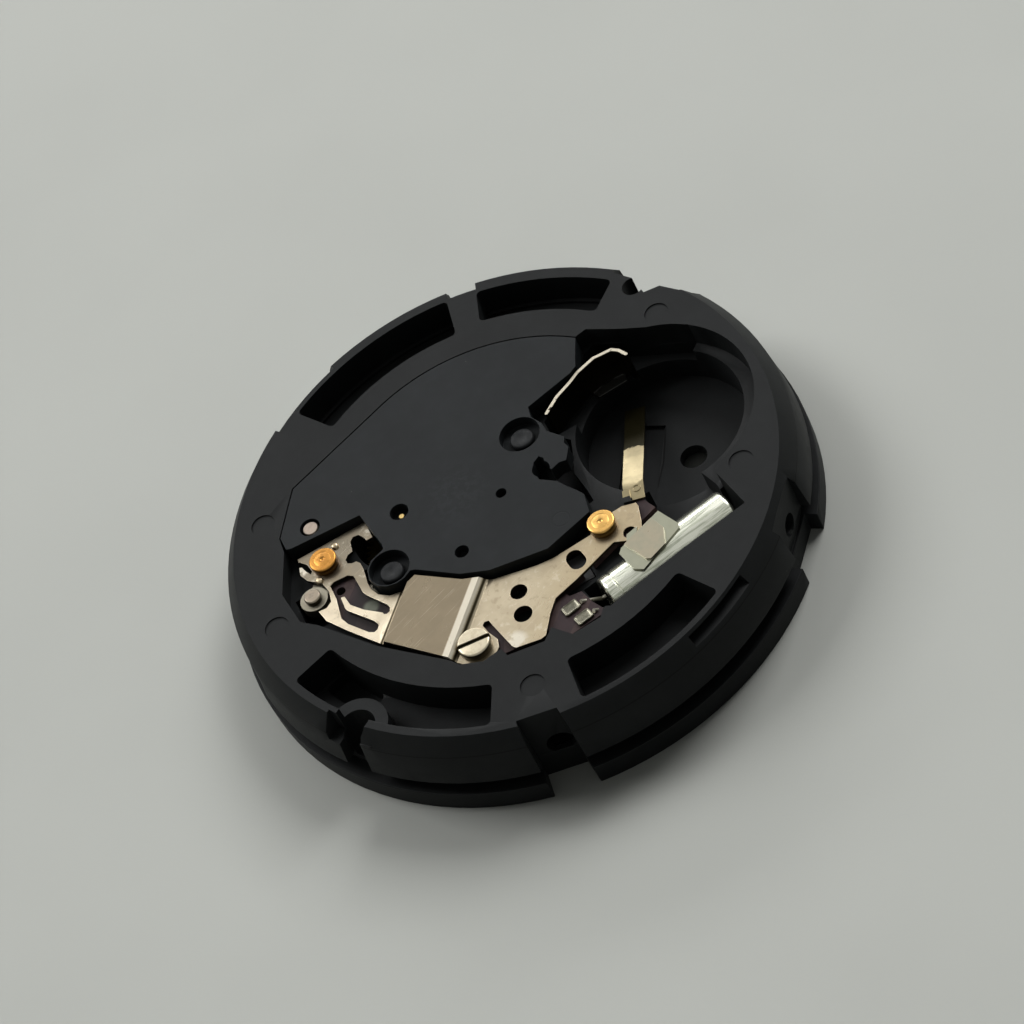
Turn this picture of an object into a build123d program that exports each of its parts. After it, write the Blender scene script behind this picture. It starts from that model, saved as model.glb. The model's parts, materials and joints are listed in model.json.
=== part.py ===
from build123d import *
import math
import os

os.makedirs("parts", exist_ok=True)

# Quartz watch movement seen from its back, all in millimetres.
# The origin is on the movement's axis, at the lower face of the flange, and Z points to the back.
# A name that ends in share or shares is a share of plate_radius. So that the whole plan follows the plate and
# every level follows the height, the other sizes are given as so much of plate_radius or of height, and only
# the clearances and the reach of the cutting bodies are lengths of their own.

# Outer form
plate_radius = 11.65
crease_radius = 1.0446 * plate_radius
wall_radius = 1.0618 * plate_radius
neck_radius = 1.0086 * plate_radius
flange_radius = 1.0721 * plate_radius
skirt_radius = 0.9356 * plate_radius
ring_bore_radius = 0.9485 * plate_radius
height = 3.9
crease_depth = 0.1795 * height
groove_depth = 0.5821 * height
flange_depth = 0.7462 * height
plate_bottom = 0.3333 * height
web_bottom = 0.2949 * height
web_top = 0.3846 * height
above = 1.0
below = 0.2
top = height
crease_level = height - crease_depth
groove_level = height - groove_depth
flange_top = height - flange_depth

# Clearances
edge_gap = 0.05
running_gap = 0.03
wide_gap = 0.10

# Levels of the back
cover_thickness = 0.1923 * height
cover_bottom = height - cover_thickness
tray_floor = 0.7692 * height
board_thickness = 0.0769 * height
board_top = tray_floor + board_thickness
sheet = 0.0385 * height
strap_low = 0.8590 * height
strap_high = 0.9308 * height
pillar_head_bottom = strap_low + sheet
battery_floor = 0.2436 * height
battery_cup_bottom = 0.1154 * height
battery_ledge = 0.6923 * height
pocket_floor = 0.6026 * height
contact_floor = 0.5256 * height

# Train places
centre = (0.0, 0.0)
third_share = (-0.1518, 0.0553)
rotor_share = (-0.2165, -0.1463)
fifth_share = (-0.0518, -0.1539)
setting_share = (-0.342, 0.160)
minute_share = (-0.0405, 0.1491)

# Train teeth
rotor_leaves = 8
fifth_teeth = 40
fifth_leaves = 8
seconds_teeth = 48
seconds_leaves = 8
third_teeth = 60
third_leaves = 8
centre_teeth = 64
cannon_leaves = 10
minute_teeth = 30
minute_leaves = 8
hour_teeth = 32
setting_teeth = 48
addendum = 0.85
dedendum = 1.15
root_share_of_pitch = 0.66
flank_share_of_pitch = 0.44
tip_share_of_pitch = 0.24

# Train levels
wheel_sheet = 0.0385 * height
lift = 0.0154 * height
motion_level = web_top + lift
centre_level = 0.4718 * height
third_level = 0.5436 * height
seconds_level = 0.6154 * height
fifth_level = 0.6872 * height
centre_hub = (0.4385 * height, centre_level)
third_pinion = (0.4564 * height, third_level)
seconds_pinion = (0.5256 * height, seconds_level)
fifth_pinion = (0.6026 * height, fifth_level)
rotor_pinion_levels = (0.6769 * height, 0.7487 * height)
magnet_levels = (0.5385 * height, 0.6615 * height)
hour_level = 0.2308 * height
hour_sheet = 0.0513 * height
hour_pipe_end = 0.1026 * height
hour_seat_top = 0.1744 * height
cannon_end = 0.0564 * height
seconds_end = 0.0128 * height
minute_pinion_bottom = 0.2256 * height
guard_level = 0.1846 * height
guard_sheet = 0.0333 * height

# Shafts
pivot_radius = 0.0069 * plate_radius
pivot_hole_radius = pivot_radius + running_gap
pivot_bottom = 0.3077 * height
pivot_top = 0.8846 * height
arbor_radius = 0.0103 * plate_radius
seconds_post_radius = 0.0086 * plate_radius
cannon_bore_radius = seconds_post_radius + running_gap
cannon_radius = 0.0300 * plate_radius
plate_bore_radius = cannon_radius + running_gap
hour_bore_radius = cannon_radius + running_gap
hour_pipe_radius = 0.0515 * plate_radius
hour_shoulder_radius = 0.0670 * plate_radius
guard_bore_radius = hour_shoulder_radius + running_gap
hub_radius = 0.0361 * plate_radius
minute_bore_radius = 0.0412 * plate_radius
minute_pivot_radius = 0.0103 * plate_radius
magnet_radius = 0.0472 * plate_radius
rotor_arbor_radius = 0.0137 * plate_radius
setting_arbor_radius = 0.0258 * plate_radius
setting_top = 0.9231 * height
spoke_count = 4
spoke_hole_share_of_radius = 0.24
spoke_place_share_of_radius = 0.56

# Wells for the wheels
well_gap = 0.12
rotor_well = 0.0858 * plate_radius

# Cups round the pivots in the cover
cup_floor = 0.8846 * height
setting_cup = 0.0343 * plate_radius
rotor_cup = 0.0258 * plate_radius
centre_cup = 0.0197 * plate_radius
window_share = (0.1613, 0.0075)
window_radius = 0.0326 * plate_radius

# Cover
cover_north_shares = [(-0.754, 0.269), (-0.754, 0.329), (-0.635, 0.508), (-0.254, 0.6385)]
cover_east_shares = [
    (0.500, 0.4705), (0.463, 0.388), (0.448, 0.350), (0.420, 0.334), (0.231, 0.291), (0.222, 0.245),
    (0.243, 0.195), (0.245, 0.150), (0.288, 0.084), (0.276, 0.060), (0.283, 0.034), (0.270, 0.012),
    (0.252, -0.016), (0.226, -0.010), (0.192, -0.020), (0.181, 0.010), (0.187, 0.046), (0.176, 0.063),
    (0.151, 0.049), (0.134, 0.020), (0.138, -0.032), (0.166, -0.058), (0.188, -0.079), (0.207, -0.118),
    (0.236, -0.170), (0.246, -0.194), (0.231, -0.276), (0.045, -0.329), (-0.164, -0.284),
    (-0.261, -0.231), (-0.388, -0.112), (-0.403, -0.105), (-0.430, -0.120), (-0.463, -0.126),
    (-0.502, -0.116), (-0.530, -0.090), (-0.544, -0.045), (-0.534, -0.004), (-0.508, 0.025),
    (-0.470, 0.038), (-0.452, 0.044), (-0.448, 0.067), (-0.470, 0.239), (-0.739, 0.261),
]
stake_shares = [(0.1568, 0.1986), (-0.4629, -0.0448)]
stake_recess_radius = 0.0747 * plate_radius
stake_recess_floor = 0.8718 * height
stake_radius = 0.0300 * plate_radius
stake_head_radius = 0.0446 * plate_radius
stake_head_top = 0.9385 * height
stake_column_radius = 0.0326 * plate_radius
cover_pin_share = (-0.6438, 0.3064)
cover_pin_radius = 0.0300 * plate_radius
cover_pin_hole_radius = 0.0369 * plate_radius
cover_pin_bottom = 0.6667 * height
cover_pin_top = 0.9846 * height

# Recess in the main plate, seen from the back
recess_shares = [
    (0.500, 0.4705), (0.545, 0.478), (0.700, 0.357), (0.870, 0.130),
    (0.880, -0.200), (0.760, -0.330), (0.6691, -0.3842), (0.6558, -0.4712), (0.6679, -0.4965),
    (0.688, -0.566), (0.654, -0.579), (0.134, -0.683), (0.112, -0.669), (0.082, -0.705),
    (-0.022, -0.709), (-0.075, -0.635), (-0.119, -0.676), (-0.246, -0.650), (-0.254, -0.610),
    (-0.329, -0.620), (-0.403, -0.582), (-0.426, -0.545), (-0.620, -0.329), (-0.769, -0.112),
    (-0.818, -0.060), (-0.832, 0.090), (-0.760, 0.262),
]
link_shares = [(0.42, -0.24), (0.62, -0.24), (0.655, -0.36), (0.655, -0.48), (0.44, -0.50)]
link_floor = 0.4231 * height
edge_gap_shares = [
    (0.305, 0.150), (0.288, 0.094), (0.256, 0.005), (0.265, -0.093), (0.266, -0.150), (0.232, -0.158),
    (0.166, -0.058), (0.130, -0.030), (0.130, 0.040), (0.170, 0.070), (0.230, 0.150), (0.260, 0.205),
]
edge_gap_floor = 0.4359 * height
contact_pocket_shares = [
    (0.255, 0.200), (0.255, 0.262), (0.330, 0.312), (0.430, 0.352), (0.455, 0.400), (0.500, 0.455),
    (0.545, 0.472), (0.862, 0.258), (0.800, 0.200),
]

# Battery well
well_share = (0.6050, 0.0249)
well_radius = 0.3090 * plate_radius
well_mouth_share = (0.5830, -0.0060)
well_mouth_radius = 0.3820 * plate_radius
cup_radius = 0.3433 * plate_radius
leaf_recess_shares = [(0.5064, 0.2128), (0.6217, 0.1228), (0.4578, -0.1590), (0.3425, -0.0690)]
leaf_recess_depth = 0.0385 * height
well_hole_share = (0.6488, -0.0694)
well_hole_radius = 0.0498 * plate_radius

# Arc pockets: inner and outer radius as shares, then the two angles in degrees
arc_pockets = [
    (0.790, 0.963, 79.8, 121.0),
    (0.810, 0.955, 41.3, 73.0),
    (0.805, 0.970, 197.0, 245.0),
    (0.800, 0.978, 264.0, 298.5),
]
ledge_overlap_angle = 1.0
pocket_corner = 0.0189 * plate_radius
pocket_ledge_width = 0.0137 * plate_radius
pocket_ledge_height = 0.0359 * height
pocket_sump = (0.805, 0.900, 197.6, 212.0)
pocket_sump_floor = 0.4487 * height

# Marks and cuts round the edge
ejector_shares = [
    (-0.787, 0.426), (-0.903, -0.030), (-0.224, -0.821), (0.789, 0.381), (0.762, -0.414),
]
ejector_radius = 0.0446 * plate_radius
ejector_depth = 0.0128 * height
facet_shares = [(-0.330, -0.920), (-0.190, -0.955), (-0.175, -1.200), (-0.370, -1.200)]
facet_hole_share = (-0.2500, -0.9400)
facet_hole_angle = 256.0
facet_hole_radius = 0.1487 * height
facet_hole_level = 0.4487 * height
facet_hole_length = 0.1717 * plate_radius
second_facet_angle = 321.3
second_facet_distance = 1.0197 * plate_radius
second_facet_width = 0.2232 * plate_radius
second_facet_top = 0.9282 * height
second_hole_radius = 0.1231 * height
second_hole_level = 0.5385 * height
rim_slot = (0.9828 * plate_radius, 1.1159 * plate_radius, 287.5, 303.5)
rim_slot_levels = (0.8615 * height, 0.9692 * height)
keyhole_share = (-0.8110, -0.5540)
keyhole_radius = 0.0660 * plate_radius
collar_radius = 0.1120 * plate_radius
collar_top = 0.8462 * height
keyhole_mouth = 0.1050 * plate_radius
step_notch_angle = 210.8
step_notch_width = 0.0750 * plate_radius
step_notch_depth = 0.0120 * plate_radius
step_notch_floor = 0.7100 * height
edge_notch_shares = [
    (0.745, 0.690), (0.735, 0.660), (0.785, 0.585), (0.790, 0.500), (0.850, 0.490),
    (0.900, 0.425), (0.935, 0.405), (1.200, 0.500), (1.000, 0.950),
]
scallop_share = (0.768, 0.552)
scallop_radius = 0.0395 * plate_radius
scallop_floor = 0.6667 * height
dip = (0.9700 * plate_radius, 1.1159 * plate_radius, 73.0, 79.5)
thin_rim = (0.9828 * plate_radius, 1.1159 * plate_radius, 108.0, 126.5)
thin_rim_floor = 0.7436 * height
dial_foot_angles = [150.0, 330.0]
dial_foot_circle = 0.8884 * plate_radius
dial_foot_radius = 0.0343 * plate_radius
dial_foot_depth = 0.2564 * height

# Coil and motor, in a frame of their own: origin, direction of the coil, then places along and across
coil_share = (-0.4223, -0.3176)
coil_angle = -41.9
core_length = 0.5322 * plate_radius
core_width = 0.0773 * plate_radius
core_levels = (0.6590 * height, 0.7359 * height)
core_pad = (0.0944 * plate_radius, 0.0944 * plate_radius)
core_ear = (0.2069 * plate_radius, -0.0910 * plate_radius)
core_ear_radius = 0.0532 * plate_radius
winding_length = 0.2403 * plate_radius
winding_radius = 0.1923 * height
winding_cheek_radius = 0.2154 * height
winding_cheek = 0.0086 * plate_radius
coil_cavity_length = 0.2833 * plate_radius
coil_cavity_floor = 0.4615 * height
stator_levels = (0.5949 * height, 0.6590 * height)
stator_shares = [
    (-0.2661, -0.0472), (-0.2661, 0.0773), (-0.1631, 0.1159), (-0.0773, 0.2918), (-0.0258, 0.3519),
    (0.1288, 0.3519), (0.2661, 0.1545), (0.2661, -0.0472), (0.1674, -0.0472), (0.1674, 0.1030),
    (0.1030, 0.1717), (-0.0258, 0.1803), (-0.1030, 0.0815), (-0.1674, 0.0644), (-0.1674, -0.0472),
]
stator_hole_radius = 0.0618 * plate_radius
stator_slit = (0.0103 * plate_radius, 0.0472 * plate_radius)

# Circuit
board_shares = [
    (-0.735, -0.030), (-0.722, -0.017), (-0.674, 0.060), (-0.600, 0.060), (-0.552, 0.030),
    (-0.560, -0.060), (-0.548, -0.105), (-0.505, -0.140), (-0.466, -0.148), (-0.395, -0.142),
    (-0.255, -0.262), (-0.160, -0.300), (0.000, -0.338),
    (0.190, -0.338), (0.300, -0.322), (0.352, -0.300), (0.372, -0.262), (0.408, -0.278),
    (0.420, -0.324), (0.434, -0.361), (0.370, -0.384), (0.320, -0.425), (0.255, -0.412), (0.090, -0.470),
    (0.020, -0.492), (0.0298, -0.5183), (0.0732, -0.5251), (0.0874, -0.5890), (0.1106, -0.6416),
    (0.0948, -0.6584), (-0.0277, -0.6704), (-0.0834, -0.6051),
    (-0.120, -0.620), (-0.240, -0.600), (-0.320, -0.590), (-0.400, -0.540), (-0.600, -0.270),
    (-0.700, -0.120),
]
board_window_shares = [(-0.1502, -0.1202), (0.1502, -0.1202), (0.1502, 0.0755), (-0.1502, 0.0755)]
board_hole_share = (-0.652, 0.016)
board_hole_radius = 0.0172 * plate_radius
solder_shares = [(0.014, -0.571), (0.036, -0.634)]
solder_size = (0.0640 * plate_radius, 0.0440 * plate_radius, 0.0282 * height)
solder_angle = 10.0
solder_round = 0.0179 * height
chip_share = (0.060, -0.416)
chip_size = (0.1545 * plate_radius, 0.1202 * plate_radius, 0.1026 * height)

# Strap over the circuit
strap_shares = [
    (-0.735, 0.232), (-0.466, 0.232), (-0.466, 0.150), (-0.491, 0.150), (-0.493, 0.166),
    (-0.506, 0.192), (-0.528, 0.196), (-0.544, 0.180), (-0.552, 0.138), (-0.572, 0.133),
    (-0.587, 0.118), (-0.586, 0.100), (-0.572, 0.090), (-0.556, 0.088), (-0.546, 0.072), (-0.546, 0.038),
    (-0.556, -0.029), (-0.554, -0.060), (-0.540, -0.098), (-0.508, -0.128),
    (-0.463, -0.139), (-0.425, -0.132), (-0.398, -0.122), (-0.262, -0.247), (-0.164, -0.299),
    (-0.015, -0.340), (0.045, -0.348), (0.194, -0.340),
    (0.215, -0.304), (0.284, -0.300), (0.338, -0.297), (0.384, -0.314), (0.386, -0.330), (0.368, -0.400),
    (0.350, -0.440), (0.330, -0.456), (0.300, -0.449), (0.250, -0.420),
    (0.075, -0.484), (-0.015, -0.510), (-0.052, -0.552),
    (-0.105, -0.632), (-0.125, -0.636), (-0.212, -0.615), (-0.222, -0.600), (-0.250, -0.450),
    (-0.266, -0.446), (-0.276, -0.456), (-0.268, -0.500), (-0.253, -0.540), (-0.262, -0.575),
    (-0.290, -0.600), (-0.345, -0.600), (-0.385, -0.575), (-0.420, -0.535), (-0.612, -0.300),
    (-0.694, -0.170), (-0.742, -0.085), (-0.752, -0.030), (-0.722, -0.034), (-0.697, -0.018),
    (-0.688, 0.030), (-0.697, 0.080), (-0.738, 0.120), (-0.752, 0.160),
]
strap_window_shares = [
    (-0.676, 0.046), (-0.659, 0.055), (-0.605, 0.050), (-0.588, 0.034), (-0.586, -0.013),
    (-0.585, -0.055), (-0.576, -0.078), (-0.530, -0.158), (-0.526, -0.174), (-0.532, -0.190),
    (-0.545, -0.195), (-0.562, -0.186), (-0.586, -0.208), (-0.590, -0.224), (-0.598, -0.235),
    (-0.612, -0.240), (-0.630, -0.227), (-0.680, -0.148), (-0.692, -0.111), (-0.684, -0.060),
    (-0.677, -0.020),
]
finger_shares = [
    (-0.6616, -0.0246), (-0.6482, -0.0287), (-0.6437, -0.0746), (-0.6104, -0.1243), (-0.5570, -0.1800),
    (-0.5500, -0.2060), (-0.5861, -0.2250), (-0.5961, -0.1938), (-0.6617, -0.0920), (-0.6648, -0.0786),
]
strap_slit_shares = [
    (-0.752, 0.222), (-0.734, 0.216), (-0.714, 0.187), (-0.709, 0.150), (-0.7175, 0.140), (-0.728, 0.163),
    (-0.735, 0.190), (-0.756, 0.200),
]
bend_places = (-0.2438 * plate_radius, -0.2318 * plate_radius, 0.0292 * plate_radius, 0.0567 * plate_radius)
strap_reach = 1.2017 * plate_radius
strap_hole_shares = [
    (-0.1135, -0.4036, 0.0309), (-0.1371, -0.4994, 0.0335), (0.3146, -0.4170, 0.0240),
]
strap_oval_share = (0.110, -0.405)
strap_oval = (0.0310 * plate_radius, 0.0550 * plate_radius)
strap_oval_angle = 96.0

# Pillars, screw and pins
pillar_shares = [(-0.6558, 0.1464), (0.2464, -0.3361)]
pillar_head_radius = 0.0506 * plate_radius
pillar_head_top = 0.9949 * height
pillar_radius = 0.0300 * plate_radius
pillar_bottom = 0.5385 * height
pillar_round = 0.0256 * height
pillar_dimple = 0.0086 * plate_radius
pillar_dimple_depth = 0.0128 * height
screw_share = (-0.3292, -0.5236)
screw_head_radius = 0.0601 * plate_radius
screw_head_height = 0.0974 * height
screw_slot = (0.0172 * plate_radius, 0.0410 * height)
screw_slot_angle = -8.0
screw_radius = 0.0258 * plate_radius
screw_bottom = 0.4103 * height

# Crystal
crystal_end_shares = [(0.1416, -0.5845), (0.6541, -0.5021)]
crystal_radius = 0.2564 * height
crystal_level = 0.6974 * height
crystal_collar = (0.0386 * plate_radius, 0.2308 * height)
crystal_round = 0.0564 * height
crystal_slot_before = 0.0472 * plate_radius
crystal_slot_after = 0.0300 * plate_radius
crystal_wedge_shares = [
    (0.400, -0.400), (0.4334, -0.3900), (0.4967, -0.4671), (0.5959, -0.4439), (0.6111, -0.4750),
    (0.560, -0.560), (0.420, -0.560),
]
lead_radius = 0.0231 * height
lead_spread = 0.0897 * height
lead_reach = 0.0137 * plate_radius
clamp_sheet = 0.0231 * height
clamp_shares = [
    (0.433, -0.418), (0.470, -0.510), (0.466, -0.530), (0.291, -0.614), (0.262, -0.590), (0.246, -0.500),
    (0.262, -0.482),
]
tongue_shares = [
    (0.276, -0.480), (0.400, -0.436), (0.420, -0.500), (0.396, -0.568), (0.330, -0.594), (0.316, -0.584),
]
clamp_leg_shares = [(0.285, -0.478), (0.330, -0.462), (0.345, -0.432), (0.300, -0.442)]

# Contacts
leaf_width = 0.0747 * plate_radius
leaf_sheet = 0.0256 * height
leaf_angle = 71.4
leaf_share = (0.3860, -0.2930)
# Reach along the leaf as a share of plate_radius, and level as a share of height
leaf_shares = [(0, 0.8462), (0.0830, 0.8462), (0.3734, 0.5300), (0.5400, 0.3718)]
leaf_stop_shares = [(0.350, -0.271), (0.378, -0.279), (0.374, -0.303), (0.346, -0.294)]
leaf_stop_top = 0.9179 * height
leaf_step = (0.0258 * plate_radius, 0.0343 * plate_radius, 0.0308 * height)
leaf_mark = (0.0232 * plate_radius, 0.0052 * plate_radius, 0.0077 * height)
plus_shares = [
    (0.276, 0.232), (0.336, 0.277), (0.400, 0.306), (0.441, 0.330), (0.515, 0.352), (0.585, 0.346),
    (0.606, 0.326), (0.622, 0.292),
]
plus_levels = (contact_floor, 0.9692 * height)
plus_foot_shares = [(0.458, 0.337), (0.590, 0.345), (0.585, 0.305), (0.470, 0.300)]

# Keyless works
stem_level = 0.5769 * height
stem_bore_radius = 0.1282 * height
stem_flat_distance = 1.0472 * plate_radius
stem_flat_width = 0.2060 * plate_radius
stem_start = 1.0815 * plate_radius
keyless_cavity_shares = [
    (-0.812, -0.065), (-0.490, -0.065), (-0.490, 0.065), (-0.690, 0.085), (-0.700, 0.100), (-0.812, 0.100),
]
keyless_floor = 0.4000 * height
sliding_ends = (-0.6395 * plate_radius, -0.5322 * plate_radius)
sliding_radius = 0.1282 * height
sliding_bore_half = 0.0564 * height
sliding_groove = (-0.6009 * plate_radius, -0.5837 * plate_radius)
sliding_groove_radius = 0.0923 * height
sliding_notches = 6
sliding_notch = (0.0189 * plate_radius, 0.0359 * height)
yoke_levels = (0.7128 * height, 0.7513 * height)
yoke_shares = [
    (-0.700, -0.050), (-0.560, -0.050), (-0.560, 0.050), (-0.700, 0.060), (-0.716, 0.045), (-0.705, 0.010),
]
prong_thickness = 0.0103 * plate_radius
prong_places = (0.1000 * height, 0.1385 * height)
prong_bottom = stem_level
lever_levels = (0.7821 * height, 0.8333 * height)
lever_lobe_levels = (0.8333 * height, 0.8974 * height)
lever_pin_share = (-0.7468, 0.0300)
lever_pin_radius = 0.0309 * plate_radius
lever_pin_top = 0.9641 * height
lever_pin_bottom = 0.6282 * height
lever_pin_shank_radius = 0.0189 * plate_radius
lever_lobe_radius = 0.0510 * plate_radius
lever_eye_radius = 0.0601 * plate_radius
lever_arm_width = 0.0687 * plate_radius

# Guard under the hour wheel
guard_screw_circle = 0.1717 * plate_radius
guard_screw_angles = [40.0, 215.0, 300.0]
guard_screw_names = ["guard_screw_east", "guard_screw_west", "guard_screw_south"]
guard_plate_radius = 0.2361 * plate_radius
guard_boss_radius = 0.0361 * plate_radius
guard_screw_radius = 0.0172 * plate_radius
guard_head_radius = 0.0326 * plate_radius
guard_head_height = 0.0308 * height
guard_screw_top = 0.3641 * height


def place(share):
    """Millimetre place of a point that is given as shares."""
    return (share[0] * plate_radius, share[1] * plate_radius)


def places(shares):
    """Millimetre places of a list of points that are given as shares."""
    return [place(share) for share in shares]


def polar(radius, angle, middle=(0.0, 0.0)):
    """Point at a radius and an angle in degrees about a middle."""
    turn = math.radians(angle)
    return (middle[0] + radius * math.cos(turn), middle[1] + radius * math.sin(turn))


def prism(points, low, high):
    """Upright prism over a closed polygon, between two levels."""
    face = make_face(Polyline(*points, close=True))
    return extrude(Pos(0, 0, low) * face, amount=high - low, dir=(0, 0, 1))


def disc(middle, radius, low, high):
    """Upright cylinder between two levels."""
    return Pos(middle[0], middle[1], (low + high) / 2) * Cylinder(radius, high - low)


def tube(middle, bore, radius, low, high):
    """Upright tube between two levels."""
    return disc(middle, radius, low, high) - disc(middle, bore, low - below, high + below)


def bar(start, end, width, low, high):
    """Upright bar with round ends, between two points."""
    run = (end[0] - start[0], end[1] - start[1])
    length = math.hypot(run[0], run[1])
    turn = math.degrees(math.atan2(run[1], run[0]))
    slot = Rot(0, 0, turn) * SlotCenterToCenter(length, width)
    middle = Pos((start[0] + end[0]) / 2, (start[1] + end[1]) / 2, low)
    return extrude(middle * slot, amount=high - low, dir=(0, 0, 1))


def block(middle, size, angle, low, high):
    """Upright box turned by an angle about its middle."""
    body = Pos(middle[0], middle[1], (low + high) / 2) * Rot(0, 0, angle)
    return body * Box(size[0], size[1], high - low)


def sector(inner, outer, start, end, low, high, corner=0.0):
    """Upright arc-shaped block between two radii and two angles."""
    half = (start + end) / 2
    path = [
        Edge.make_three_point_arc(polar(inner, start), polar(inner, half), polar(inner, end)),
        Edge.make_line(polar(inner, end), polar(outer, end)),
        Edge.make_three_point_arc(polar(outer, end), polar(outer, half), polar(outer, start)),
        Edge.make_line(polar(outer, start), polar(inner, start)),
    ]
    body = extrude(Pos(0, 0, low) * Face(Wire(path)), amount=high - low, dir=(0, 0, 1))
    if corner:
        body = fillet(body.edges().filter_by(Axis.Z), corner)
    return body


def union(shapes):
    """All shapes joined into one."""
    total = shapes[0]
    for shape in shapes[1:]:
        total = total + shape
    return total


def spread(share_a, share_b):
    """Distance and direction from one place to another."""
    a = place(share_a)
    b = place(share_b)
    return math.dist(a, b), math.degrees(math.atan2(b[1] - a[1], b[0] - a[0]))


def module_of(share_a, share_b, teeth_a, teeth_b):
    """Module that puts two wheels in mesh at their places."""
    return 2 * spread(share_a, share_b)[0] / (teeth_a + teeth_b)


def mesh_phase(share_a, share_b, phase, teeth_a, teeth_b):
    """Angle of a tooth of wheel b when wheel a has a tooth at the phase angle."""
    heading = spread(share_a, share_b)[1]
    return heading + 180 - (phase - heading) * teeth_a / teeth_b - 180 / teeth_b


def tip_radius(teeth, module):
    """Radius over the teeth."""
    return module * (teeth / 2 + addendum)


def toothed(share, teeth, module, phase, low, high):
    """Disc with trapezoid teeth round it, one tooth at the phase angle."""
    pitch = 360 / teeth
    middle = place(share)
    root = module * (teeth / 2 - dedendum)
    tip = tip_radius(teeth, module)
    flank = module * teeth / 2
    points = []
    for number in range(teeth):
        axis = phase + number * pitch
        points.append(polar(root, axis - root_share_of_pitch * pitch / 2, middle))
        points.append(polar(flank, axis - flank_share_of_pitch * pitch / 2, middle))
        points.append(polar(tip, axis - tip_share_of_pitch * pitch / 2, middle))
        points.append(polar(tip, axis + tip_share_of_pitch * pitch / 2, middle))
        points.append(polar(flank, axis + flank_share_of_pitch * pitch / 2, middle))
        points.append(polar(root, axis + root_share_of_pitch * pitch / 2, middle))
    return prism(points, low, high)


def wheel(share, teeth, module, phase, low, high):
    """Toothed wheel with round openings that leave spokes."""
    body = toothed(share, teeth, module, phase, low, high)
    radius = module * teeth / 2
    for number in range(spoke_count):
        spot = polar(spoke_place_share_of_radius * radius, number * 360 / spoke_count, place(share))
        body = body - disc(spot, spoke_hole_share_of_radius * radius, low - below, high + below)
    return body


def along_coil(s, n):
    """Place of a point given along and across the coil."""
    origin = place(coil_share)
    turn = math.radians(coil_angle)
    x = origin[0] + s * math.cos(turn) - n * math.sin(turn)
    y = origin[1] + s * math.sin(turn) + n * math.cos(turn)
    return (x, y)


def save(name, shape):
    """Write one piece to its STEP file."""
    shape.label = name
    export_step(shape, "parts/" + name + ".step")


# Shared outlines
cover_points = places(cover_north_shares)
crown_start = cover_points[-1]
crown_end = place(cover_east_shares[0])
third_place = place(third_share)
rotor_place = place(rotor_share)
fifth_place = place(fifth_share)
setting_place = place(setting_share)
minute_place = place(minute_share)
well_place = place(well_share)
mouth_place = place(well_mouth_share)


def path_face(points, arc_start, arc_middle, more_points):
    """Face inside lines, one three-point arc and more lines back to the first point."""
    edges = []
    for here, there in zip(points[:-1], points[1:]):
        edges.append(Edge.make_line(here, there))
    edges.append(Edge.make_three_point_arc(arc_start, arc_middle, more_points[0]))
    closed = more_points + [points[0]]
    for here, there in zip(closed[:-1], closed[1:]):
        edges.append(Edge.make_line(here, there))
    return Face(Wire(edges))


def upright(face, low, high):
    """Face extruded between two levels."""
    return extrude(Pos(0, 0, low) * face, amount=high - low, dir=(0, 0, 1))


crown_mid_point = polar(
    (math.hypot(*crown_start) + math.hypot(*crown_end)) / 2,
    (math.degrees(math.atan2(crown_start[1], crown_start[0]))
     + math.degrees(math.atan2(crown_end[1], crown_end[0]))) / 2,
)
cover_face = path_face(cover_points, crown_start, crown_mid_point, places(cover_east_shares))
recess_north = cover_points[1:]
recess_face = path_face(recess_north, crown_start, crown_mid_point, places(recess_shares))


def grown(face, amount):
    """Face with its outline moved outwards."""
    return offset(face, amount=amount, kind=Kind.INTERSECTION)


# Train, all phases from one chain
seconds_module = module_of(centre, fifth_share, seconds_teeth, fifth_leaves)
fifth_module = module_of(rotor_share, fifth_share, rotor_leaves, fifth_teeth)
third_module = module_of(centre, third_share, seconds_leaves, third_teeth)
centre_module = module_of(centre, third_share, centre_teeth, third_leaves)
motion_module = module_of(centre, minute_share, cannon_leaves, minute_teeth)
hour_module = module_of(centre, minute_share, hour_teeth, minute_leaves)
setting_module = module_of(minute_share, setting_share, minute_teeth, setting_teeth)

fifth_pinion_phase = mesh_phase(centre, fifth_share, 0, seconds_teeth, fifth_leaves)
rotor_phase = mesh_phase(fifth_share, rotor_share, 0, fifth_teeth, rotor_leaves)
third_phase = mesh_phase(centre, third_share, 0, seconds_leaves, third_teeth)
centre_phase = mesh_phase(third_share, centre, 0, third_leaves, centre_teeth)
minute_phase = mesh_phase(centre, minute_share, 0, cannon_leaves, minute_teeth)
hour_phase = mesh_phase(minute_share, centre, 0, minute_leaves, hour_teeth)
setting_phase = mesh_phase(minute_share, setting_share, minute_phase, minute_teeth, setting_teeth)


def make_seconds_wheel():
    body = wheel(centre, seconds_teeth, seconds_module, 0, seconds_level, seconds_level + wheel_sheet)
    body = body + toothed(centre, seconds_leaves, third_module, 0, seconds_pinion[0], seconds_level)
    return body - disc(centre, seconds_post_radius, cannon_end, top)


def make_seconds_arbor():
    body = disc(centre, seconds_post_radius, seconds_end, cover_bottom - lift)
    body = body + disc(centre, pivot_radius, cover_bottom - lift, pivot_top)
    return body


def make_fifth_wheel():
    body = wheel(fifth_share, fifth_teeth, fifth_module, 0, fifth_level, fifth_level + wheel_sheet)
    body = body + toothed(fifth_share, fifth_leaves, seconds_module, fifth_pinion_phase,
                          fifth_pinion[0], fifth_level)
    body = body + disc(fifth_place, arbor_radius, motion_level, cover_bottom - lift)
    return body + disc(fifth_place, pivot_radius, pivot_bottom, cover_bottom + lift)


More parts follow.
